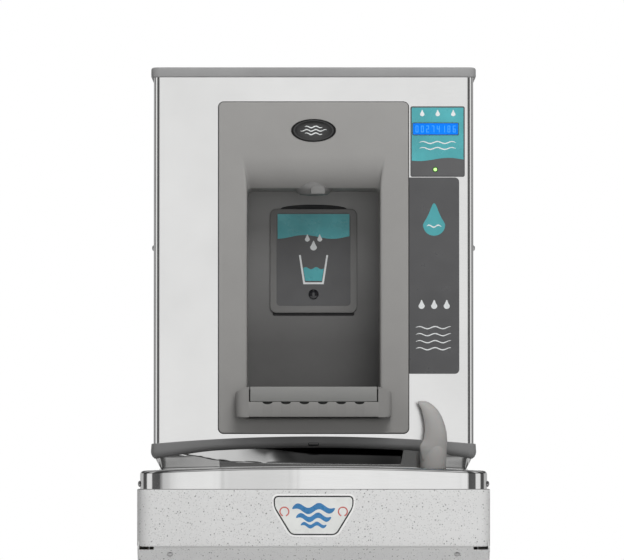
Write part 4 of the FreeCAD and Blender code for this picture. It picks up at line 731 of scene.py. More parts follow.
@dataclass
class StainlessTop:
    """The pressed stainless top: rolled rim, bowl, tap deck with its mound, and the neck under the filler.

    Heights are from the rim's crest. The rim falls to both sides on a wide arch.
    """

    half: float = 226.5
    front: float = -481.0
    back: float = -8.0
    corner: float = 27.0
    skirt: float = -38.0
    arch: float = 5200.0
    land: float = 5.0
    split: float = -228.0
    bowl_half: float = 196.0
    bowl_y: Pair = (-462.0, -236.0)
    bowl_r: float = 62.0
    deck: Pair = (112.0, -345.0)
    deck_r: float = 22.0
    deck_nose_r: float = 35.2
    drain: Pair = (-30.0, -372.0)
    mound: Pair = (160.0, -290.0)
    mound_r: Pair = (12.0, 15.5)
    mound_high: float = 9.4
    foot_half: float = 208.0
    foot_front: float = -202.0
    foot_r: float = 4.2
    joggles: Pairs = ((-127.2, -126.8), (118.0, 121.5))
    skirt_rows: Pair = (-26.0, -12.0)
    right_end: Pair = (146.0, 176.0)
    hollow_left: Pair = (-184.0, -172.0)
    lean_back: float = 0.32
    lean_back_x: Pair = (-100.0, 10.0)
    side_lean: float = 0.52
    ends_lean: float = 0.466
    middle_lean: float = 0.2
    stand_out: float = 14.5
    head_top: float = 26.2
    head_arch: float = 2388.0
    land_grow: Pair = (3.8, 1.1)
    bowl_deep: float = 46.0
    bowl_draft: float = 5.0
    floor_round: Pair = (26.0, 22.0)
    floor_fall: float = 3.4
    well: Pairs = ((22.0, -72.0), (19.5, -75.0), (19.0, -80.0))
    well_lip: float = 27.0
    fold_x: Floats = (-181, -154, -137, -112, -70, 0, 82, 118.0, 121.5, 160)
    fold_z: Floats = (17.4, 13.5, 9.6, 6.7, 5.4, 4.2, 3.2, 3.2, 30.0, 30.0)
    shelf_x: Floats = (-190, -127, -60, 118)
    shelf_out: Floats = (5.4, 3.3, 0.8, 0.5)
    foot_fillet: Pairs = ((0.8, 0.1), (0.45, 0.25), (0.15, 0.5), (0.0, 0.8))
    wall_rows: Floats = (0.2, 0.45, 0.7, 0.88, 1.0)
    hollow_rows: Floats = (0.03, 0.07, 0.12, 0.2, 0.32, 0.46, 0.6, 0.75, 0.9, 1.0)
    counts: tuple[int, ...] = (36, 10, 48, 10, 12, 24, 24, 60)
    side_count: int = 9
    corner_turns: int = 8

    def side_ys(self) -> Array:
        """Depths of the points along one side, from the back to where the front corner starts."""
        runs = (np.linspace(self.back, self.split, self.side_count),
                np.linspace(self.split, self.deck[1], self.counts[5] + 1)[1:],
                np.linspace(self.deck[1], self.front + self.corner, self.counts[4] + 1)[1:])
        return np.concatenate(runs)

    def rail(self, inset: float) -> Array:
        """The outer edge in plan, moved inward."""
        return u_rail(self.half - inset, self.front + inset, self.side_ys(), self.corner - inset, self.counts[1],
                      self.counts[2])

    def edge_rows(self) -> Array:
        """The rim: the skirt, and a quarter round over to the land that grows from 3.8 mm in the middle to 4.9."""
        outer, inner = self.rail(0), self.rail(self.land)
        grow = self.land_grow[0] + self.land_grow[1] * (outer[:, 0] / self.half) ** 2
        crest = arched(outer[:, 0], self.arch)
        rows = [lifted(outer, height) for height in (self.skirt, *self.skirt_rows)]
        for inset, height in arc((1, -1), 1, 180, 90, 11):
            share = (inset * grow / self.land)[:, None]
            rows.append(lifted(outer * (1 - share) + inner * share, crest + height * grow))
        rows.append(lifted(inner, crest))
        return np.array(rows)

    def bowl_loop(self, grow: float) -> Array:
        """The bowl's edge, moved outward by grow, in eight runs that face the outer edge's runs.

        Each corner is an arc between its two moved sides: convex ones have radius plus grow, and the deck's
        nose has radius less grow.
        """
        west, east = -self.bowl_half - grow, self.bowl_half + grow
        south, north = self.bowl_y[0] - grow, self.bowl_y[1] + grow
        nose_x, nose_y = self.deck[0] + grow, self.deck[1] + grow
        big, small, nose = self.bowl_r + grow, max(self.deck_r + grow, 3.0), self.deck_nose_r - grow
        turn = 10
        sw, se = (west + big, south + big), (east - big, south + big)
        nw = (west + big, north - big)
        deck_e, deck_n = (east - small, nose_y - small), (nose_x - small, north - small)
        tip = (nose_x + nose, nose_y + nose)
        runs = [
            chained(arc(nw, big, 135, 180, turn), line((west, nw[1]), (west, sw[1]), 3)),
            arc(sw, big, 180, 270, 3 * turn),
            line((sw[0], south), (se[0], south), 3),
            arc(se, big, 270, 360, 3 * turn),
            chained(line((east, se[1]), (east, deck_e[1]), 3), arc(deck_e, small, 0, 45, turn)),
            chained(arc(deck_e, small, 45, 90, turn), line((deck_e[0], nose_y), (tip[0], nose_y), 3),
                    arc(tip, nose, 270, 225, turn)),
            chained(arc(tip, nose, 225, 180, turn), line((nose_x, tip[1]), (nose_x, deck_n[1]), 3),
                    arc(deck_n, small, 0, 45, turn)),
            chained(arc(deck_n, small, 45, 90, turn), line((deck_n[0], north), (nw[0], north), 3),
                    arc(nw, big, 90, 135, turn)),
        ]
        return np.concatenate([spaced(run, np.linspace(0, 1, count + 1))[:-1] for run, count in zip(runs, self.counts)])

    def outer_loop(self) -> Array:
        """The edge of the front field: the rail's land in front of the split, closed by the split line."""
        rail = self.rail(self.land)[self.side_count - 1:1 - self.side_count]
        return np.concatenate([rail[:-1], self.split_line()[:-1]])

    def split_line(self) -> Array:
        """The line across the top between the front field and the ledge round the neck, right to left."""
        end = self.half - self.land
        right = line((end, self.split), (self.deck[0], self.split), self.counts[6] + 1)
        left = line((self.deck[0], self.split), (-end, self.split), self.counts[7] + 1)
        return np.concatenate([right[:-1], left])

    def level(self, plan: Array) -> Array:
        """Height of the upper side at plan points: the arch plus the tap's mound, a smooth-sided cone."""
        away = np.hypot(plan[..., 0] - self.mound[0], plan[..., 1] - self.mound[1])
        return arched(plan[..., 0], self.arch) + self.mound_high * (1 - eased(away, *self.mound_r))

    def field(self, skin: Skin) -> None:
        """The front field: land, deck, lip, bowl wall, floor and drain seat, as rows of matching loops."""
        outer, lip = self.outer_loop(), self.bowl_loop(self.land)
        shares = np.linspace(0, 1, 29)[:, None, None]
        rows = [*self.laid(outer * (1 - shares) + lip * shares)]
        turn = np.radians(np.linspace(0, 90, self.corner_turns + 1))[1:]
        deep, draft, (inward, down) = self.bowl_deep, self.bowl_draft, self.floor_round
        steps = [*zip(self.land * (1 - np.sin(turn)), -self.land * (1 - np.cos(turn)))]
        steps += [*zip(np.linspace(0, -draft, 7)[1:], np.linspace(-self.land, -deep, 7)[1:])]
        steps += [*zip(-draft - inward * (1 - np.cos(turn)), -deep - down * np.sin(turn))]
        for grow, depth in steps:
            plan = self.bowl_loop(grow)
            fade = max(1 + depth / deep, 0)
            rows.append(lifted(plan, depth + fade * self.level(plan)))
        skin.grid(rows + self.floor_rows(self.bowl_loop(-draft - inward)), wrap=True)

    def laid(self, plans: Array) -> Array:
        """Rows of plan points laid on the upper side."""
        return np.concatenate([plans, self.level(plans)[..., None]], axis=-1)

    def floor_rows(self, edge: Array) -> list[Array]:
        """The bowl's floor: straight runs from its edge to the drain's seat, each at its own bearing."""
        bearing = np.unwrap(np.arctan2(edge[:, 1] - self.drain[1], edge[:, 0] - self.drain[0]))
        bearing = np.maximum.accumulate(bearing)
        ways = abreast(np.cos(bearing), np.sin(bearing))
        seat = self.drain + self.well_lip * ways
        deep = self.bowl_deep + self.floor_round[1]
        rows = [lifted(edge * (1 - share) + seat * share, -deep - self.floor_fall * share)
                for share in np.linspace(0, 1, 10)[1:]]
        return rows + [lifted(self.drain + radius * ways, height) for radius, height in self.well]

    def neck_rail(self, grow: float = 0.0) -> Array:
        """The neck's foot in plan, grown to the front and to the sides."""
        radius = self.foot_r
        half, front = self.foot_half + grow, self.foot_front - grow
        ys = np.linspace(self.back, front + radius, self.side_count)
        across = self.split_line()[::-1, 0] / (self.half - self.land) * (half - radius)
        for joggle in self.joggles:
            after = np.searchsorted(across, np.mean(joggle))
            across[after - 1:after + 1] = joggle
        left = abreast(np.full(len(ys), -half), ys)
        bend = arc((-half + radius, front + radius), radius, 180, 270, self.corner_turns + 1)
        return u_shaped(left, bend, abreast(across, np.full(len(across), front)))

    def ledge_rail(self) -> Array:
        """The outer edge of the ledge round the neck, with as many points as the neck's rail."""
        end = self.half - self.land
        left = line((-end, self.back), (-end, self.split), self.side_count)
        knot = np.tile([[-end, self.split]], (self.corner_turns + 1, 1))
        return u_shaped(left, knot, self.split_line()[::-1])

    def stands(self, x: Array, height: Array) -> Array:
        """How far the neck's front stands forward of its foot.

        Under the fold the wall leans forward, more at both ends than between. Over it the hollow's face is set
        back to a shelf, upright at the left and leaning back from the middle to its right end.
        """
        ends = 1 - eased(x, *self.joggles[0]) + eased(x, *self.right_end)
        lean = self.middle_lean + (self.ends_lean - self.middle_lean) * ends
        fold = np.interp(x, self.fold_x, self.fold_z)
        wall = lean * np.clip(np.minimum(height, fold), -4, self.stand_out + 10 * (1 - ends))
        over = np.clip(height - fold, 0, None)
        inside = eased(x, *self.hollow_left) * (1 - eased(x, *self.joggles[1]))
        back = self.lean_back * eased(x, *self.lean_back_x) * over * (0.92 + 0.01 * over)
        face = np.interp(x, self.shelf_x, self.shelf_out) - back
        return wall + (face - wall) * inside * eased(over, 0, 1.2)

    def neck(self, skin: Skin) -> None:
        """The ledge and the neck: rails by height, from the fillet at its foot up to the filler."""
        shares = np.linspace(0, 1, 5)[:, None, None]
        rows = [*self.laid(self.ledge_rail() * (1 - shares) + self.neck_rail(3.4) * shares)]
        land = self.level(self.neck_rail())
        x = self.neck_rail()[:, 0]
        rows += [self.neck_row(high + land, out) for out, high in self.foot_fillet]
        low = self.foot_fillet[-1][1] + land
        top = self.head_top + arched(x, self.head_arch)
        fold = np.minimum(np.maximum(np.interp(x, self.fold_x, self.fold_z), low + 0.6), top - 0.6)
        rows += [self.neck_row(low + share * (fold - low)) for share in self.wall_rows]
        rows += [self.neck_row(fold + share * (top - fold)) for share in self.hollow_rows]
        # the rows over the fold take finish 2, whose colour holds painted shade and reflection
        tags = np.full(len(rows) - 1, 1)
        tags[-len(self.hollow_rows):] = 2
        skin.grid(rows, tag=tags)

    def neck_row(self, height: Array, out: float = 0.0) -> Array:
        """One row of the neck's wall: the foot's rail, its front moved by stands() and its sides by their lean."""
        plan = self.neck_rail(out)
        toward = np.clip((self.foot_front - out + self.foot_r - plan[:, 1]) / self.foot_r, 0, 1)
        aside = np.clip((np.abs(plan[:, 0]) - self.foot_half - out + self.foot_r) / self.foot_r, 0, 1)
        plan[:, 1] -= toward * self.stands(plan[:, 0], height)
        plan[:, 0] += np.sign(plan[:, 0]) * aside * self.side_lean * np.clip(height, -4, self.stand_out)
        return lifted(plan, height)

    def rear_skirt(self, skin: Skin) -> None:
        """The skirt along the wall side: straight rows from the skirt's foot up to the neck's rear edge."""
        half = self.half - 0.5
        x = np.linspace(-half, half, 41)
        high = np.where(np.abs(x) < self.foot_half, self.head_top + arched(np.clip(x, -210, 210), self.head_arch) - 1,
                        arched(x, self.arch))
        shares = np.array([0, 0.02, 0.5, 1.0])[:, None]
        z = self.skirt + shares * (high - self.skirt)
        skin.grid(abreast(np.broadcast_to(x, z.shape), np.full(z.shape, self.back - 0.05), z)[:, ::-1])

    def build(self) -> Thing:
        """The whole pressed top as one sheet."""
        skin = Skin()
        skin.grid(self.edge_rows())
        self.field(skin)
        self.neck(skin)
        self.rear_skirt(skin)
        skin.points = [points + [0, 0, RIM] for points in skin.points]
        finishes = [PRESSED_STEEL, NECK_STEEL, PAINTED_SHADE_HOLLOW_STEEL]
        return settle(skin.piece("pressed_top", finishes, wall=1.2, up=(0, 0, 1), crease=28), "basin_top")


# ---- the casing

@dataclass
class Apron:
    """The powder-coated band round the top, with a return at each edge."""

    half: float = 230.0
    front: float = -483.0
    back: float = -10.0
    corner: float = 20.0
    top: float = -28.6
    bottom: float = -103.4
    turn_in: float = 9.0
    edge_r: float = 1.5
    shadow_line_rows: int = 4

    def build(self) -> Thing:
        """A U of sheet: the section (inset, height) carried along the plan's rail, its upper edge darkened as painted
        shadow.
        """
        side = np.linspace(self.back, self.front + self.corner, 16)
        soft = self.edge_r
        section = chained(np.array([[self.turn_in, self.top]]), arc((soft, self.top - soft), soft, 90, 180, 5),
                          line((0, self.top - soft), (0, self.bottom + soft), 8),
                          arc((soft, self.bottom + soft), soft, 180, 270, 5), np.array([[self.turn_in, self.bottom]]))
        rows = [lifted(u_rail(self.half - inset, self.front + inset, side, self.corner - inset, 12, 36), RIM + height)
                for inset, height in section]
        skin = Skin()
        # the first rows, round the upper edge, take the darkened granite: a painted shadow line
        tags = np.zeros(len(rows) - 1, int)
        tags[:self.shadow_line_rows] = 1
        skin.grid(rows, tag=tags)
        return settle(skin.piece("apron_band", [GRANITE, SHADOW_LINE_COAT], wall=1.2, away=(0, -240, RIM - 60)), "apron")


@dataclass
class FillerCase:
    """The filler's stainless wrap, its cap and the arched trim at its foot."""

    half: float = 216.5
    front: float = -210.0
    back: float = -3.0
    corner: float = 8.0
    z: Pair = (31.0, 535.0)
    doorway: float = 122.0
    doorway_z: Pair = (52.0, 487.0)
    cap_half: float = 220.0
    cap_z: Pair = (527.5, 541.0)
    cap_front: float = -213.5
    trim_top: float = 41.2
    trim_low: float = 26.3
    trim_arch: float = 2388.0
    trim_outs: Floats = (-4.0, 2.2, 2.7, 2.9, 3.2, 3.5, 3.4, 2.9, 1.2, -1.4, -3.2, -4.0)
    trim_highs: Floats = (1.0, 1.0, 0.975, 0.93, 0.7, 0.5, 0.42, 0.3, 0.13, 0.02, 0.0, 0.0)
    chin: Pair = (0.5, 5.0)
    cap_low: Pairs = ((1.2, 0.0), (0.2, 0.6), (0.0, 1.6))
    cap_high: Pairs = ((0.0, 3.2), (0.4, 1.9), (1.3, 0.8), (2.8, 0.1), (4.4, 0), (20, 0), (60, 0))
    cap_r: Pair = (11.0, 2.0)
    slot: Pairs = ((-6.4, 6.4), (29.3, 32.2))
    slot_rim: Pairs = ((-7.2, 7.2), (28.6, 32.9))

    def wrap(self) -> Thing:
        """The wrap: a U of sheet with a doorway behind the moulding's flange."""
        heights = np.unique(np.concatenate([np.linspace(*self.z, 9), self.doorway_z]))
        side = np.linspace(self.back, self.front + self.corner, 8)
        rail = u_rail(self.half, self.front, side, self.corner, 10, 2)
        near = self.half - self.corner - 1.0
        on_front = np.array([[x, self.front] for x in (-near, -self.doorway, self.doorway, near)])
        middle = len(rail) // 2
        rail = np.concatenate([rail[:middle], on_front[:2], rail[middle:middle + 1], on_front[2:], rail[middle + 1:]])
        centre, flat = (rail[:-1] + rail[1:]) / 2, self.front + 0.01
        centre_z = (heights[:-1] + heights[1:]) / 2
        open_x = (np.abs(centre[:, 0]) < self.doorway) & (centre[:, 1] < flat)
        open_z = (centre_z > self.doorway_z[0]) & (centre_z < self.doorway_z[1])
        skin = Skin()
        skin.grid([lifted(rail, RIM + height) for height in heights], keep=~(open_z[:, None] & open_x))
        return settle(skin.piece("filler_wrap_sheet", [STAINLESS], wall=1.0, away=(0, -100, RIM + 280)), "filler_wrap")

    def cap(self) -> Thing:
        """The cap: closed loops in plan, drawn in towards the top on a small round and crowned a little."""
        low, high = self.cap_z
        steps = [(inset, low + rise) for inset, rise in self.cap_low]
        steps += [(inset, high - fall) for inset, fall in self.cap_high]
        front_r, back_r = self.cap_r
        skin = Skin()
        skin.lofted([lifted(rounded_loop((-self.cap_half + inset, self.cap_half - inset),
                                         (self.cap_front + inset, -1.0 - 0.2 * inset),
                                         (max(front_r - inset, 3),) * 2 + (back_r,) * 2, 8, (24, 8)), RIM + height)
                     for inset, height in steps])
        return settle(skin.piece("filler_cap_moulding", [CAP_PLASTIC], crease=50), "filler_cap")

    def trim_heights(self, x: Array) -> Array:
        """The heights of the trim's section over its arched foot line, at each x.

        The face is a shallow hull: it stands out furthest above its middle, and its chin drops towards the ends.
        """
        chin = self.chin[0] + self.chin[1] * eased(np.abs(x) / self.cap_half, 0.58, 1.0)
        return np.array(self.trim_highs)[:, None] * (self.trim_top - self.trim_low + chin) - chin

    def trim(self) -> Thing:
        """The trim: its section carried round the foot, on an arch."""
        side = np.linspace(-1.0, self.front + self.corner, 10)
        base = u_rail(self.half, self.front, side, self.corner, 10, 80)[:, 0]
        foot = RIM + self.trim_low + arched(base, self.trim_arch)
        rows = [lifted(u_rail(self.half + out, self.front - out, side, self.corner + out, 10, 80), foot + height)
                for out, height in zip(self.trim_outs, self.trim_heights(base))]
        skin = Skin()
        numbers = skin.grid(rows + rows[:1])
        skin.face(numbers[:-1, 0][::-1])
        skin.face(numbers[:-1, -1])
        return settle(skin.piece("filler_trim_moulding", [TRIM_PLASTIC_PAINTED_REFLECTION], crease=40), "filler_trim")

    def outlet(self) -> Thing:
        """The small slot in the middle of the trim, a rounded frame round a sunk floor, painted near black as shade."""
        inner = plate_loop(*self.slot, 1.0, turn=5)
        skin = Skin()
        skin.ring(plate_loop(*self.slot_rim, 1.6, turn=5), inner, self.front - 2.0, self.front - 3.45)
        skin.prism(inner, self.front - 1.0, self.front - 2.9)
        return join_on(skin.piece("trim_outlet", [PAINTED_SHADOW_BLACK], soft_edge=0.15), "filler_trim")


# ---- the alcove

@dataclass
class Alcove:
    """The grey moulding: a flange on the wrap, the bottle alcove behind it, and its rolled hood."""

    flange_half: float = 128.5
    flange_z: Pair = (45.4, 493.8)
    face: float = -212.5
    rear: float = -95.0
    half: float = 90.0
    floor: float = 66.7
    ceiling: float = 378.0
    hood_top: float = 423.0
    hood_r: float = 58.0
    side_round: float = 4.0
    flare: float = 3.6
    flare_z: Pair = (375.0, 421.0)
    flare_deep: float = 22.0
    flange_edge: Pairs = ((0, 0.0), (0, 1.2), (0.35, 2.0), (1.1, 2.5))
    flange_r: float = 7.0
    deep_rows: Floats = (21.5, 23, 30, 60, 90, 112, 116)

    def loop(self, y: float) -> Array:
        """The alcove's outline at a depth.

        Sides and floor roll in from the face on a quarter round. The hood's edge follows a drum:
        its height is the drum's axis less the root of radius² less (radius less depth)². The upper
        ends of the sides flare out near the face.
        """
        depth = y - self.face
        roll = max(self.hood_r - depth, 0.0)
        top = max(self.hood_top - math.sqrt(max(self.hood_r ** 2 - roll ** 2, 0)), self.ceiling)
        half = self.half + float(rolled(depth, self.side_round))
        low = self.floor - float(rolled(depth, self.side_round))
        upper = 3.0 + 4.0 * float(eased(depth, 2, 20))
        loop = rounded_loop((-half, half), (RIM + low, RIM + top), (4, 4, upper, upper), 10, (24, 40))
        open_out = self.flare * eased(loop[:, 1] - RIM, *self.flare_z) * (1 - float(eased(depth, 0, self.flare_deep)))
        loop[:, 0] += np.sign(loop[:, 0]) * open_out
        return loop

    def flange(self, inset: float, sides: tuple[int, int] = (1, 1)) -> Array:
        """The flange's outline, moved inward."""
        return plate_loop((-self.flange_half, self.flange_half), self.flange_z, self.flange_r, inset, 10, sides)

    def build(self) -> Thing:
        """Rows of loops from the flange's outer edge over its face and into the alcove, closed by the back wall."""
        rows = [upright(self.flange(inset, (24, 40)), self.face + 2.5 - out) for inset, out in self.flange_edge]
        roll = self.side_round * (1 - np.cos(np.radians(np.linspace(0, 90, 8))))
        depths = [*roll, *np.linspace(5, 21.3, 9), *self.deep_rows, self.rear - self.face]
        rows += [upright(self.loop(self.face + depth), self.face + depth) for depth in depths]
        skin = Skin()
        # the back wall takes finish 1, with painted shade on its lower part
        skin.face(skin.grid(rows, wrap=True)[-1], 1)
        shell = skin.piece("alcove_shell", [GREY_PLASTIC, PAINTED_SHADE_BACK_PLASTIC], wall=2.4, up=(0, -1, 0), crease=30)
        # a thin near-black ring round the flange's edge: a painted shadow line
        seam = Skin()
        seam.ring(self.flange(-0.9), self.flange(1.5), self.face + 2.6, self.face + 1.7)
        join_on(seam.piece("flange_shadow_line", [PAINTED_SHADOW_BLACK]), "alcove_moulding")
        return settle(shell, "alcove_moulding")


@dataclass
class DripTray:
    """The tray at the alcove's foot with soft front ends, and the lift-out grate over it."""

    half: float = 105.0
    front: float = -240.0
    flange: float = -212.6
    rear: float = -98.0
    z: Pair = (67.0, 108.0)
    well_half: float = 87.0
    lip_low: float = 88.0
    notch_r: float = 6.6
    notch_pitch: float = 24.8
    grate_half: float = 86.0
    bar_pitch: float = 9.6
    slot_rows: Floats = (-226.0, -172.0, -164.0, -110.0, -99.0)
    cheek_fall: Pair = (7.0, 1.3)
    cheek_heights: Floats = (0, 0.02, 0.06, 0.5, 0.9, 0.965, 1.0)
    cheek_pulls: Floats = (0.86, 0.955, 1, 1, 1, 0.985, 0.93)
    tub_half: float = 89.0
    tub_steps: Pairs = ((0.0, 104.0), (0.0, 72.0), (4.0, 67.0), (30.0, 67.0), (32.0, 69.0), (7.0, 69.5), (3.0, 73.0),
                        (2.4, 104.0))

    def cheek(self, skin: Skin, side: int) -> None:
        """One end of the tray: plan loops by height, its front corner round and its top falling outward."""
        low, high = self.z
        plan = rounded_loop((self.well_half, self.half), (self.front, self.flange), (0.6, 11, 0.6, 0.6), 10, (8, 4))
        centre = plan.mean(axis=0)
        fall, power = self.cheek_fall
        fall = fall * ((plan[:, 0] - self.well_half) / (self.half - self.well_half)) ** power
        rows = []
        for share, pull in zip(self.cheek_heights, self.cheek_pulls):
            outline = centre + (plan - centre) * np.where(plan > centre, pull, 1)
            rows.append(lifted(outline * [side, 1], RIM + low + share * (high - low - fall)))
        skin.lofted(rows)

    def front_wall(self, skin: Skin) -> None:
        """The wall between the cheeks; its top edge dips in six half-round notches."""
        centres = (np.arange(6) - 2.5) * self.notch_pitch
        spread = self.notch_r * np.sin(np.radians(np.linspace(-90, 90, 13)))
        ends = [-self.well_half - 0.5, self.well_half + 0.5]
        x = np.unique(np.concatenate([ends, (centres[:, None] + spread).ravel()]))
        near = np.abs(x[:, None] - centres).min(axis=1)
        dip = 0.5 * np.sqrt(np.clip(self.notch_r ** 2 - near ** 2, 0, None))
        top = RIM + self.lip_low - 0.5 - dip
        low = np.full_like(x, RIM + self.z[0])
        face, back = self.front, self.front + 3.0
        section = [(back, low), (face + 1.6, low), (face + 0.4, low + 0.6), (face, low + 1.8), (face, top - 0.5),
                   (face + 0.5, top), (back, top)]
        loops = [abreast(x, np.full_like(x, y), z) for y, z in section]
        numbers = skin.grid(loops + loops[:1])
        skin.face(numbers[:-1, 0])
        skin.face(numbers[:-1, -1][::-1])

    def tub(self, skin: Skin) -> None:
        """The shallow tub under the grate: plan loops down the outside and up the inside of its wall."""
        rows = [lifted(rounded_loop((-self.tub_half + inset, self.tub_half - inset),
                                    (self.front + 3.2 + inset, self.rear - inset), (3,) * 4, 4, (10, 6)), RIM + height)
                for inset, height in self.tub_steps]
        # the tub takes the near-black finish 1: painted shade under the grate
        numbers = skin.grid(rows + rows[:1], wrap=True, tag=1)
        skin.face(numbers[3][::-1], 1)
        skin.face(numbers[4], 1)

    def tray(self) -> Thing:
        """The whole tray."""
        skin = Skin()
        self.cheek(skin, 1)
        self.cheek(skin, -1)
        self.front_wall(skin)
        self.tub(skin)
        return settle(skin.piece("drip_tray_moulding", [TRAY_PLASTIC, PAINTED_SHADE_WELL_PLASTIC], crease=38), "drip_tray")

    def grate(self) -> Thing:
        """The grate: a plate with slots, its front turned down into a lip."""
        bars = np.arange(-8, 9) * self.bar_pitch
        quarter = self.bar_pitch / 4
        xs = np.sort(np.concatenate([bars - quarter, bars + quarter, [-self.grate_half, self.grate_half]]))
        ys = np.array([self.front + 3.4, *self.slot_rows])
        open_x = np.arange(len(xs) - 1) % 2 == 1
        open_y = np.arange(len(ys) - 1) % 2 == 1
        skin = Skin()
        skin.grid([lifted(abreast(xs, np.full_like(xs, y)), RIM + self.z[1] - 0.2) for y in ys],
                  keep=~(open_y[:, None] & open_x))
        plate = skin.piece("grate_plate", [GRATE_PLASTIC], wall=3.6, up=(0, 0, 1), soft_edge=0.5)
        lip = Skin()
        half = self.grate_half - 0.7
        lip.prism(plate_loop((-half, half), (self.lip_low, self.z[1]), 1.2, sides=(8, 2)), self.front + 4.0, self.front)
        join_on(lip.piece("grate_lip", [GRATE_PLASTIC], soft_edge=0.7), "drip_grate")
        return settle(plate, "drip_grate")


# ---- on the moulding

@dataclass
class SensorPad:
    """The raised pad on the alcove's back wall, its dark film with a teal band, and the sensor's window."""

    half: float = 59.8
    z: Pair = (211.4, 354.3)
    back: float = -95.2
    face: float = -98.5
    film_half: float = 50.8
    film_z: Pair = (221.1, 348.8)
    window_z: float = 236.9
    edge: Pairs = ((0.0, -95.2), (0.0, -96.9), (0.4, -98.0), (1.5, -98.5))
    seam_half: Pair = (46.0, 56.0)
    band_low: float = 33.0
    drops: tuple[Triple, ...] = ((0, -47, 4.6), (-8.5, -36, 3.4), (8.5, -36, 3.4))
    glass_foot: float = -98.0
    glass: Pairs = ((-14, 0), (14, 0), (20, 40), (17.6, 40), (11.8, 2.6), (-11.8, 2.6), (-17.6, 40), (-20, 40))
    water_foot: Pairs = ((-11.4, 4.6), (11.4, 4.6))
    water_top: Pair = (14.2, 22.0)
    bezel: Pairs = ((7.0, 0.3), (7.0, -0.9), (6.2, -1.2), (5.9, -0.9), (5.6, -0.5), (4.0, -1.0), (2.0, -1.25),
                    (0.02, -1.3))

    def pad(self) -> Thing:
        """The pad: loops from its foot to its face, the edge rounded."""
        skin = Skin()
        skin.lofted([upright(plate_loop((-self.half, self.half), self.z, 9, inset, 8, (8, 8)), y)
                     for inset, y in self.edge])
        self.shadow_gap(skin)
        return settle(skin.piece("sensor_pad_moulding", [PAD_PLASTIC, RUBBER_AND_SHADOW], crease=38), "sensor_pad")

    def shadow_gap(self, skin: Skin) -> None:
        """Painted shadow over and under the pad, as thin dark prisms: a low crescent above, a narrow strip below."""
        upper, lower = self.seam_half
        x = np.linspace(-upper, upper, 33)
        over = abreast(x, RIM + self.z[1] + 6.0 * (1 - (x / upper) ** 2) ** 0.5)
        under = abreast(x[::-1], np.full_like(x, RIM + self.z[1] - 1.5))
        strip = plate_loop((-lower, lower), (self.z[0] - 3.6, self.z[0] + 1), 2)
        for outline in (chained(over, under), strip):
            skin.prism(outline, self.back + 0.4, self.back - 0.5, 1)

    def film(self) -> Thing:
        """The film: dark field, teal band with a waved lower edge, and a tumbler under three drops."""
        skin = Skin()
        high, y = RIM + self.film_z[1], self.face
        skin.prism(plate_loop((-self.film_half, self.film_half), self.film_z, 5, turn=6), y + 0.2, y - 0.22)
        x = np.linspace(-self.film_half + 1.5, self.film_half - 1.5, 49)
        wave = abreast(x[::-1], high - self.band_low + 2.6 * np.sin(x[::-1] / self.film_half * 4.2 + 2.6))
        skin.prism(chained(line((x[0], high - 1.6), (x[-1], high - 1.6), 5), wave)[::-1], y, y - 0.4, 1)
        for across, fall, size in self.drops:
            skin.prism(drop_outline((across, high + fall), size), y, y - 0.5, 2)
        self.tumbler(skin, high + self.glass_foot, y)
        return settle(skin.piece("pad_film_print", [PAD_FILM, TEAL_INK, PALE_INK]), "pad_label")

    def tumbler(self, skin: Skin, foot: float, y: float) -> None:
        """A tumbler in outline: a wall that widens upward, and a waved level inside it."""
        skin.prism(np.array(self.glass) + [0, foot], y, y - 0.5, 2)
        half, level = self.water_top
        x = np.linspace(half, -half, 25)
        wave = abreast(x, level + 1.5 * np.sin(x * 0.44))
        skin.prism(np.concatenate([self.water_foot, wave]) + [0, foot], y, y - 0.46, 1)

    def window(self) -> Thing:
        """The sensor's window: a dark dome in a narrow bezel, turned from its section."""
        return settle(disc_piece("pad_window", (0, self.face, self.window_z), self.bezel, DARK_LENS), "sensor_window")


def drop_outline(centre: Pair, size: float) -> Array:
    """A water drop in elevation: a circle whose top is drawn out to a point by the sine's power.

    Args:
        centre: the round part's centre.
        size: the round part's radius.
    Returns:
        32 points.
    """
    turn = np.linspace(-np.pi / 2, 1.5 * np.pi, 33)[:-1]
    tip = np.clip(np.sin(turn), 0, 1) ** 5
    x = centre[0] + size * np.cos(turn) * (1 - 0.35 * np.clip(np.sin(turn), 0, 1))
    return abreast(x, centre[1] + size * (np.sin(turn) + 0.95 * tip))


def disc_piece(name: str, at: Sequence[float], section: Sequence[Pair], finish: Finish) -> Thing:
    """A round piece facing the user: a section turned about Y.

    Args:
        name: the piece's name.
        at: the centre of its seat, its height over the rim.
        section: radii and depths from the seat, the foot first; minus is towards the user.
        finish: its finish.
    Returns:
        The piece.
    """
    skin = Skin()
    skin.lofted([upright(circle(radius, 40, (at[0], RIM + at[2])), at[1] + depth) for radius, depth in section])
    return skin.piece(name, [finish], crease=40)


@dataclass
class Nozzle:
    """The nozzle's boss under the hood: a skirt that narrows downward, a rolled foot, a tongue and the bore."""

    y: float = -172.0
    low: float = 369.5
    section: Pairs = ((27.0, 16.5), (27.0, 10.0), (26.6, 8.3), (24.4, 5.5), (21.8, 2.9), (19.6, 1.1), (18.2, 0.2),
                      (16.9, 0.0), (14.6, 0.4), (9.2, 0.8), (9.0, 3.0), (4.2, 3.2), (4.0, 6.5))
    tongue_x: Pair = (-3.5, 15.5)
    tongue_z: Pair = (0.6, 11.4)
    tongue_y: Pair = (-12.0, -27.6)

    def build(self) -> Thing:
        """Rings by height: radius and height, closed over the bore; the tongue is a small plate in front."""
        skin = Skin()
        skin.lofted([lifted(circle(radius, 64, (0, self.y)), RIM + self.low + height)
                     for radius, height in self.section])
        foot, top = (RIM + self.low + height for height in self.tongue_z)
        back, front = (self.y + out for out in self.tongue_y)
        skin.prism(rounded_loop(self.tongue_x, (foot, top), (0.8, 0.8, 6.5, 6.5), 8), back, front)
        return settle(skin.piece("nozzle_boss_moulding", [PAD_PLASTIC], soft_edge=0.4, crease=45), "nozzle_boss")


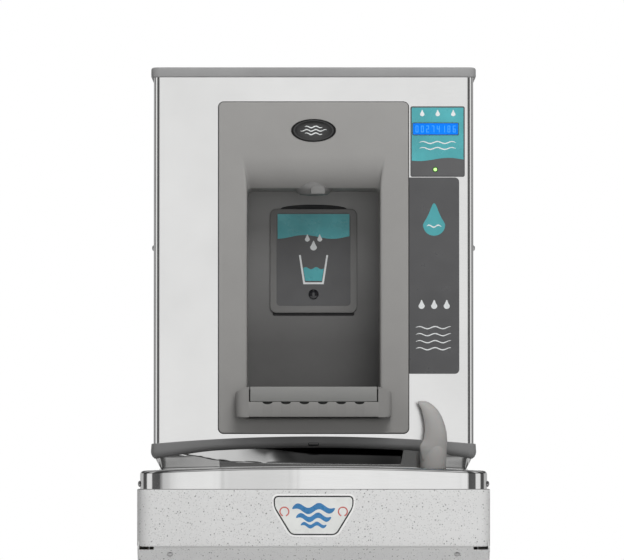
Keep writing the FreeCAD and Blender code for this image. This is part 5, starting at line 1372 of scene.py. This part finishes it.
@dataclass
class Badge:
    """The oval badge over the alcove: black rim, dark domed enamel, and a plain three-wave mark."""

    half: Pair = (30.4, 15.5)
    z: float = 455.2
    seat: float = -212.3
    dome: float = 1.8
    steps: Pairs = ((1.0, 0.0), (1.0, 0.75), (0.975, 0.95), (0.91, 0.85), (0.895, 0.8), (0.8, 1.1), (0.62, 1.45),
                    (0.35, 1.7), (0.1, 1.8))
    mark: Pairs = ((4.6, 12.0), (0.0, 18.0), (-4.6, 12.0))

    def build(self) -> Thing:
        """Oval rings from the seat over the rim to the dome's crown, with the mark a little proud of it."""
        rings = [upright(circle(share * np.array(self.half), 64, (0, RIM + self.z)), self.seat - out)
                 for share, out in self.steps]
        skin = Skin()
        rim = skin.grid(rings[:5], wrap=True, tag=1)
        dome = skin.grid(rings[4:], wrap=True)
        skin.face(rim[0][::-1], 1)
        skin.face(dome[-1])
        for row, length in self.mark:
            x = np.linspace(-length, length, 41)
            crest = RIM + self.z + row + 1.1 * np.sin(x * 0.5)
            thick = 0.75 * np.sqrt(np.clip(1 - (x / length) ** 2, 0, 1)) + 0.05
            over, under = (abreast(x, crest + edge) for edge in (thick, -thick))
            skin.prism(chained(over, under[::-1]), self.seat - 0.9, self.seat - self.dome - 0.12, 2)
        return settle(skin.piece("badge_oval", [ENAMEL, ENAMEL_RIM, PALE_INK], crease=30), "badge")


@dataclass
class ControlPanel:
    """The printed panel on the right: teal field with a waved foot, lit counter, lamp, and the long strip."""

    x: Pair = (131.1, 204.7)
    z: Pair = (392.4, 488.0)
    face: float = -211.2
    seat: float = -210.0
    strip_x: Pair = (129.1, 197.1)
    strip_z: Pair = (125.8, 391.6)
    strip_face: float = -210.5
    counter_x: Pair = (134.6, 195.6)
    counter_z: Pair = (449.7, 465.0)
    lamp: Pair = (164.7, 402.3)
    shown: tuple[int, ...] = (0, 0, 2, 7, 4, 1, 8, 6)
    digit_pitch: float = 7.2
    digit_size: Triple = (3.6, 9.0, 0.8)
    segments: tuple[int, ...] = (0x3F, 0x06, 0x5B, 0x4F, 0x66, 0x6D, 0x7D, 0x07, 0x7F, 0x6F)
    lamp_ring: Pairs = ((3.6, 0.2), (3.6, -0.35), (3.1, -0.6), (2.6, -0.5), (2.5, -0.2))
    lamp_dome: Pairs = ((2.4, 0.1), (2.3, -0.4), (1.7, -0.8), (0.9, -1.0), (0.02, -1.05))
    border: float = 1.8
    foot_high: float = 23.5
    drops_x: Floats = (16, 37, 58)
    drops_below: float = 10.5
    waves_z: Floats = (46.5, 38.5)
    big_drop: Pair = (64.0, 15.0)
    strip_drops_x: Floats = (-17, 0, 17)
    strip_drops_z: float = 92.0
    strip_waves_z: Floats = (34, 43.5, 53, 62.5)

    def panel(self) -> Thing:
        """The panel's plate and its print: grey border, teal field over a dark foot, and plain marks."""
        x, z = self.x, (RIM + self.z[0], RIM + self.z[1])
        y = self.face
        skin = Skin()
        skin.prism(plate_loop(x, self.z, 2.5, turn=5), self.seat + 0.1, y)
        skin.prism(plate_loop(x, self.z, 3.8, self.border, 5), y + 0.1, y - 0.12, 1)
        span = np.linspace(x[0] + self.border, x[1] - self.border, 49)
        share = (span - span[0]) / (span[-1] - span[0])
        wave = abreast(span, z[0] + self.foot_high + 2.2 * np.sin(share * 5.6 - 2.4))
        top = line((span[-1], z[1] - self.border), (span[0], z[1] - self.border), 3)
        skin.prism(np.concatenate([wave, top]), y, y - 0.2, 2)
        marks = [drop_outline((x[0] + across, z[1] - self.drops_below), 3.0) for across in self.drops_x]
        marks += [wave_band((x[0] + 12, x[1] - 12), z[0] + row, 1.3, 1.5, 0.32) for row in self.waves_z]
        for mark in marks:
            skin.prism(mark, y, y - 0.3, 3)
        return settle(skin.piece("display_plate", [DARK_FILM, PAD_FILM, TEAL_INK, PALE_INK]), "display_panel")

    def counter(self) -> Thing:
        """The lit counter: a blue window in a thin frame with seven-segment digits."""
        x, z = self.counter_x, (RIM + self.counter_z[0], RIM + self.counter_z[1])
        y = self.face - 0.2
        skin = Skin()
        inner = plate_loop(x, self.counter_z, 0.6)
        skin.ring(plate_loop(x, self.counter_z, 0.5, -0.9), inner, y + 0.1, y - 0.35, 2)
        skin.prism(inner, y + 0.1, y - 0.2)
        for number, digit in enumerate(self.shown):
            self.digit(skin, digit, (x[0] + 3.6 + self.digit_pitch * number, z[0] + 3.0), y - 0.15)
        return settle(skin.piece("lit_counter", [LCD, LCD_DIGIT, DARK_LENS]), "display_window")

    def digit(self, skin: Skin, digit: int, at: Pair, y: float) -> None:
        """One seven-segment digit: a thin bar for each bit that its entry in segments has."""
        lit = self.segments[digit]
        w, h, t = self.digit_size
        bars = ((0, h - t, w, h), (w - t, h / 2, w, h), (w - t, 0, w, h / 2), (0, 0, w, t), (0, 0, t, h / 2),
                (0, h / 2, t, h), (0, (h - t) / 2, w, (h + t) / 2))
        for number, (x0, z0, x1, z1) in enumerate(bars):
            if lit >> number & 1:
                box = rounded_loop((at[0] + x0, at[0] + x1), (at[1] + z0, at[1] + z1), (0.2,) * 4, 2)
                skin.prism(box, y, y - 0.14 - 0.004 * number, 1)

    def lamp_piece(self) -> Thing:
        """The status lamp: a dark green ring round a lit dome."""
        at = (self.lamp[0], self.face, self.lamp[1])
        join_on(disc_piece("lamp_ring", at, self.lamp_ring, LED_WELL), "display_panel")
        return join_on(disc_piece("lamp_dome", at, self.lamp_dome, LED_GREEN), "display_panel")

    def strip(self) -> Thing:
        """The long film under the panel: dark field with rounded right corners, pale waves and drops."""
        x, z = self.strip_x, (RIM + self.strip_z[0], RIM + self.strip_z[1])
        y = self.strip_face
        skin = Skin()
        skin.prism(rounded_loop(x, z, (0.8, 6, 6, 0.8), 6), self.seat + 0.1, y)
        middle = (x[0] + x[1]) / 2
        below, size = self.big_drop
        skin.prism(drop_outline((middle, z[1] - below), size), y + 0.1, y - 0.14, 1)
        skin.prism(wave_band((middle - 10, middle + 10), z[1] - below - 2, 1.4, 1.8, 0.5), y, y - 0.3, 2)
        marks = [wave_band((x[0] + 9, x[1] - 11), z[0] + row, 1.5, 1.5, 0.3) for row in self.strip_waves_z]
        marks += [drop_outline((middle + across, z[0] + self.strip_drops_z), 4.2) for across in self.strip_drops_x]
        for mark in marks:
            skin.prism(mark, y + 0.1, y - 0.14, 2)
        return settle(skin.piece("side_strip", [DARK_FILM, TEAL_INK, PALE_INK]), "label_strip")


def wave_band(x: Pair, z: float, rise: float, thick: float, pace: float) -> Array:
    """A ribbon in elevation along a sine: centre z plus rise·sin(pace·x), its ends drawn to points.

    Args:
        x: its ends.
        z: mean height.
        rise: the wave's height.
        thick: the ribbon's thickness.
        pace: radians for each millimetre.
    Returns:
        A closed outline.
    """
    along = np.linspace(x[0], x[1], 61)
    share = (along - x[0]) / (x[1] - x[0])
    half = thick / 2 * np.sqrt(np.clip(1 - (2 * share - 1) ** 4, 0, 1)) + 0.02
    mid = z + rise * np.sin((along - x[0]) * pace)
    over, under = abreast(along, mid + half), abreast(along, mid - half)
    return chained(over, under[::-1])


@dataclass
class ApronLabel:
    """The six-sided label on the apron: white edge, black border, pale field and a plain blue wave mark."""

    half: float = 54.4
    foot_half: float = 31.5
    top: float = -34.9
    low: float = -91.0
    shoulder: float = -52.5
    seat: float = -483.0
    waves: tuple[Floats, ...] = ((28, 6, 3.2, 8.2, 0.224), (23, -5.5, 2.8, 7.0, 0.273), (17, -15.5, 2.0, 5.0, 0.37))
    ring_x: float = 38.0
    ring_r: Pair = (6.6, 4.9)
    layers: Pair = (2.4, 4.2)

    def outline(self, inset: float) -> Array:
        """The hexagon moved inward, its corners rounded by short arcs between the moved sides."""
        right = np.array([[self.foot_half - 0.7 * inset, self.low + inset],
                          [self.half - inset, self.shoulder + 0.2 * inset], [self.half - inset, self.top - inset]])
        left = right[::-1] * [-1, 1]
        corners = np.concatenate([left[-1:], right, left[:-1]])
        runs = []
        for number in range(6):
            here, before, after = corners[number], corners[number - 1], corners[(number + 1) % 6]
            pull = max(9.0 - inset, 3.0)
            first = here + (before - here) / np.linalg.norm(before - here) * pull
            last = here + (after - here) / np.linalg.norm(after - here) * pull
            share = np.linspace(0, 1, 7)[:, None]
            runs.append(first * (1 - share) ** 2 + here * 2 * share * (1 - share) + last * share ** 2)
        return np.concatenate(runs) + [0, RIM]

    def build(self) -> Thing:
        """The label's layers and its mark: three blue waves between two red rings."""
        y = self.seat
        skin = Skin()
        skin.prism(self.outline(0), y + 0.05, y - 0.28)
        edge, field = (self.outline(inset) for inset in self.layers)
        skin.ring(edge, field, y - 0.2, y - 0.36, 1)
        skin.prism(field, y - 0.2, y - 0.33, 2)
        middle = RIM + (self.top + self.low) / 2 + 3
        for half, over, rise, thick, pace in self.waves:
            skin.prism(wave_band((-half, half), middle + over, rise, thick, pace), y - 0.2, y - 0.42, 3)
        for x in (-self.ring_x, self.ring_x):
            outer, inner = (arc((x, middle + 2), radius, -70, 250, 25) for radius in self.ring_r)
            skin.prism(np.concatenate([outer, inner[::-1]]), y - 0.2, y - 0.42, 4)
        finishes = [WHITE_FILM, BLACK_INK, LABEL_FIELD, BLUE_INK, RED_INK]
        return settle(skin.piece("apron_label_print", finishes), "apron_label")


# ---- the tap

@dataclass
class BubblerGuard:
    """The soft hood over the drinking tap: crescents by height, open towards the bowl."""

    y: float = -290.0
    foot_x: float = 159.9
    wall: float = 3.6
    thin: float = 0.42
    horn: float = 128.0
    heights: Floats = (8, 14, 22, 28, 36, 46.8, 57, 66.8, 73, 77.5, 81.5, 84.5, 86.6, 88.0)
    right: Floats = (176.3, 177.3, 178.0, 178.5, 178.7, 177.7, 175.2, 171.6, 168.2, 165, 160.9, 157.0, 153.5, 149.5)
    left: Floats = (146.2, 144.4, 142.9, 142.2, 146.5, 148.3, 148.1, 146.3, 144.9, 143.6, 141.6, 140.3, 139.6, 139.4)
    depth: Floats = (14.4, 15.6, 16.9, 17.0, 16.8, 16.4, 15.6, 14.4, 13.2, 12.0, 10.4, 8.6, 6.6, 4.2)
    skirt: Pairs = ((12.9, 8.2), (16.9, -2.4), (17.1, -1.8), (17.3, 6), (17.6, 14), (17.5, 19), (17.1, 24),
                    (16.2, 29), (14.8, 32.5), (13, 34.5), (7.4, 34.8), (7.2, 8.4))

    def ring(self, right: float, left: float, depth: float, height: float) -> Array:
        """One crescent: the outer arc of an ellipse from horn to horn, and the inner one back."""
        turn = np.radians(np.linspace(-self.horn, self.horn, 41))
        wide = (right - left) / (1 - math.cos(math.radians(self.horn)))
        wall = min(self.wall, self.thin * min(wide, depth))
        outer, inner = (abreast(right - wide + (wide - inset) * np.cos(turn), self.y + (depth - inset) * np.sin(turn))
                        for inset in (0, wall))
        return lifted(np.concatenate([outer, inner[::-1]]), RIM + height)

    def build(self) -> Thing:
        """The crescents joined by height, over a turned skirt round the tap's foot."""
        fine = np.unique(np.concatenate([np.linspace(self.heights[0], self.heights[-1], 36), self.heights]))
        sizes = [np.interp(fine, self.heights, row) for row in (self.right, self.left, self.depth)]
        skin = Skin()
        skin.lofted([self.ring(*row) for row in zip(*sizes, fine)])
        rows = [lifted(circle(radius, 60, (self.foot_x, self.y)), RIM + height) for radius, height in self.skirt]
        skin.grid(rows + rows[:1], wrap=True)
        return settle(skin.piece("tap_guard", [GUARD_RUBBER], soft_edge=0.9, crease=60), "bubbler_guard")


@dataclass
class SideScrews:
    """Dome-headed screws near the front edges of the filler's and the top's sides, one pair each."""

    pairs: tuple[Triple, ...] = ((216.5, -180.0, 297.0), (226.5, -456.0, -22.0))
    section: Pairs = ((4.0, -0.3), (4.0, 0.5), (3.7, 1.3), (2.9, 2.1), (1.8, 2.6), (0.7, 2.85), (0.02, 2.9))

    def build(self) -> Thing:
        """Each head as circles by height over the sheet, closed at its crown."""
        skin = Skin()
        for half, y, height in self.pairs:
            for side in (-1, 1):
                rings = []
                for radius, out in self.section:
                    head = circle((radius, side * radius), 32, (y, RIM + height))
                    rings.append(np.insert(head, 0, side * (half + out), axis=1))
                skin.lofted(rings)
        return join_on(skin.piece("side_screw_heads", [SCREW_STEEL]), "casing_screws")


# ---- the studio


@dataclass
class Studio:
    """Camera, soft lights, pale floor, and a white surround with darker bands for the metal to mirror.

    bands is brightness by bearing from the front and tiers by height over the horizon, both in degrees.
    lamps are name, place, target, size and power; sizes here are metres.
    """

    camera_at: Triple = (-0.0021, -7.483, 0.1213)
    tilt: float = 1.98
    lens: float = 310.4
    ambient: float = 0.28
    bands: Pairs = ((0, 0.98), (2.6, 0.96), (4.2, 0.72), (6.5, 0.64), (8, 0.5), (10, 0.10), (46, 0.12), (51, 0.88),
                    (79, 0.88), (86, 0.09), (109, 0.09), (117, 0.55), (180, 0.5))
    tiers: Pairs = ((-90, 0.5), (-30, 0.5), (-8, 1.0), (12, 1.0), (16, 0.3), (19, 0.15), (27, 0.15), (33, 0.4),
                    (41, 0.6), (44, 0.8), (58, 0.8), (70, 0.35), (90, 0.35))
    lamps: tuple[tuple, ...] = (("key", (0.45, -1.75, 1.95), (0, -0.2, 0.35), 1.3, 30),
                                ("fill", (0.5, -4.0, 0.5), (0, -0.2, 0.2), 2.4, 30),
                                ("top", (0, -0.6, 2.6), (0, -0.25, 0.3), 1.6, 9))
    floor_radii: Floats = (1200.0, 2400.0, 3600.0)
    floor_gap: float = 2.0

    def camera(self) -> None:
        """The camera: far off, nearly level, aimed a little upward."""
        lens = bpy.data.cameras.new("camera")
        lens.sensor_width = 36
        lens.lens = self.lens
        lens.clip_end = 100
        eye = bpy.data.objects.new("camera", lens)
        eye.location = self.camera_at
        eye.rotation_euler = (math.radians(90 + self.tilt), 0, 0)
        bpy.context.scene.collection.objects.link(eye)
        bpy.context.scene.camera = eye

    def lamp(self, name: str, at: Sequence[float], towards: Sequence[float], size: float, power: float) -> None:
        """One large soft light, unseen in reflections."""
        light = bpy.data.lights.new(name, "AREA")
        light.shape = "DISK"
        light.size = size
        light.energy = power
        lamp = bpy.data.objects.new(name, light)
        lamp.visible_glossy = False
        lamp.location = at
        lamp.rotation_euler = (Vector(towards) - Vector(at)).to_track_quat("-Z", "Y").to_euler()
        bpy.context.scene.collection.objects.link(lamp)

    def floor(self) -> None:
        """A pale disc just under the fountain, turned from a few radii."""
        skin = Skin()
        low = CAD_BOX[0][2] / MM - self.floor_gap
        rows = [lifted(circle(radius, 64, (0, -240)), low) for radius in self.floor_radii]
        numbers = skin.grid(rows, wrap=True)
        skin.face(numbers[0])
        skin.piece("floor", [PALE_FLOOR], up=(0, 0, 1))

    def banded(self, bench: Bench, angle: Socket, stops: Sequence[Pair]) -> Socket:
        """Brightness looked up along an angle in radians, as a ramp of grey stops."""
        low, high = stops[0][0], stops[-1][0]
        ramp = bench.add("ValToRGB")
        elements = ramp.color_ramp.elements
        elements.remove(elements[0])
        for number, (degrees, tone) in enumerate(stops):
            place = (degrees - low) / (high - low)
            stop = elements.new(place) if number else elements[0]
            stop.position = place
            stop.color = (tone, tone, tone, 1)
        bench.put(ramp.inputs["Fac"], bench.ranged(angle, math.radians(low), math.radians(high)))
        return ramp.outputs["Color"]

    def surround(self) -> None:
        """The world: white to the camera, even grey for soft light, and banded by bearing and tier in reflections."""
        world = bpy.data.worlds.new("surround")
        world.use_nodes = True
        bpy.context.scene.world = world
        bench = Bench(world.node_tree, "Generated")
        ray = bench.add("LightPath").outputs
        ahead = bench.maths("MULTIPLY", bench.axis(1), -1)
        bearing = bench.maths("ARCTAN2", bench.maths("ABSOLUTE", bench.axis(0)), ahead)
        height = bench.maths("ARCSINE", bench.axis(2))
        mirrored = bench.mixed(1.0, self.banded(bench, bearing, self.bands), self.banded(bench, height, self.tiers),
                               "MULTIPLY")
        skies = []
        for colour, strength in (((1, 1, 1, 1), self.ambient), (mirrored, 1.0), ((1, 1, 1, 1), 1.0)):
            sky = bench.add("Background")
            bench.put(sky.inputs["Color"], colour)
            bench.put(sky.inputs["Strength"], strength)
            skies.append(sky.outputs[0])
        shown = skies[0]
        seen = bench.maths("MAXIMUM", ray["Is Camera Ray"], ray["Is Transmission Ray"])
        for chosen, sky in ((ray["Is Glossy Ray"], skies[1]), (seen, skies[2])):
            switch = bench.add("MixShader")
            for target, value in zip(switch.inputs, (chosen, shown, sky)):
                bench.put(target, value)
            shown = switch.outputs[0]
        bench.put(bench.add("OutputWorld").inputs["Surface"], shown)

    def build(self) -> None:
        """Everything round the fountain."""
        self.camera()
        self.floor()
        self.surround()
        for lamp in self.lamps:
            self.lamp(*lamp)
        bpy.context.scene.view_settings.view_transform = "Standard"


def dress(names: Sequence[str]) -> None:
    """Gives the CAD nodes that stay in sight or inside the finish of their slot."""
    for node in names:
        finish = NODE_FINISH.get(node, SLOT_FINISH[slot_of(node)])
        shown = frame["nodes"][node]
        if not shown.material_slots:
            shown.data.materials.append(finish.material())
        for place in shown.material_slots:
            place.material = finish.material()
        LOG.info("%s keeps its own shape with %s", node, finish.name)


def main() -> None:
    """Builds the fountain's pieces in order, dresses the rest, and sets up the studio."""
    logging.basicConfig(level=logging.INFO, format="%(name)s: %(message)s")
    case, tray, pad, panel = FillerCase(), DripTray(), SensorPad(), ControlPanel()
    for build in (StainlessTop().build, Apron().build, case.wrap, case.cap, case.trim, case.outlet, Alcove().build,
                  tray.tray, tray.grate, pad.pad, pad.film, pad.window, Nozzle().build, Badge().build, panel.panel,
                  panel.counter, panel.lamp_piece, panel.strip, ApronLabel().build, BubblerGuard().build,
                  SideScrews().build):
        build()
    dress([node for node in frame["nodes"] if node not in stood_for])
    Studio().build()


if __name__ == "__main__":
    main()
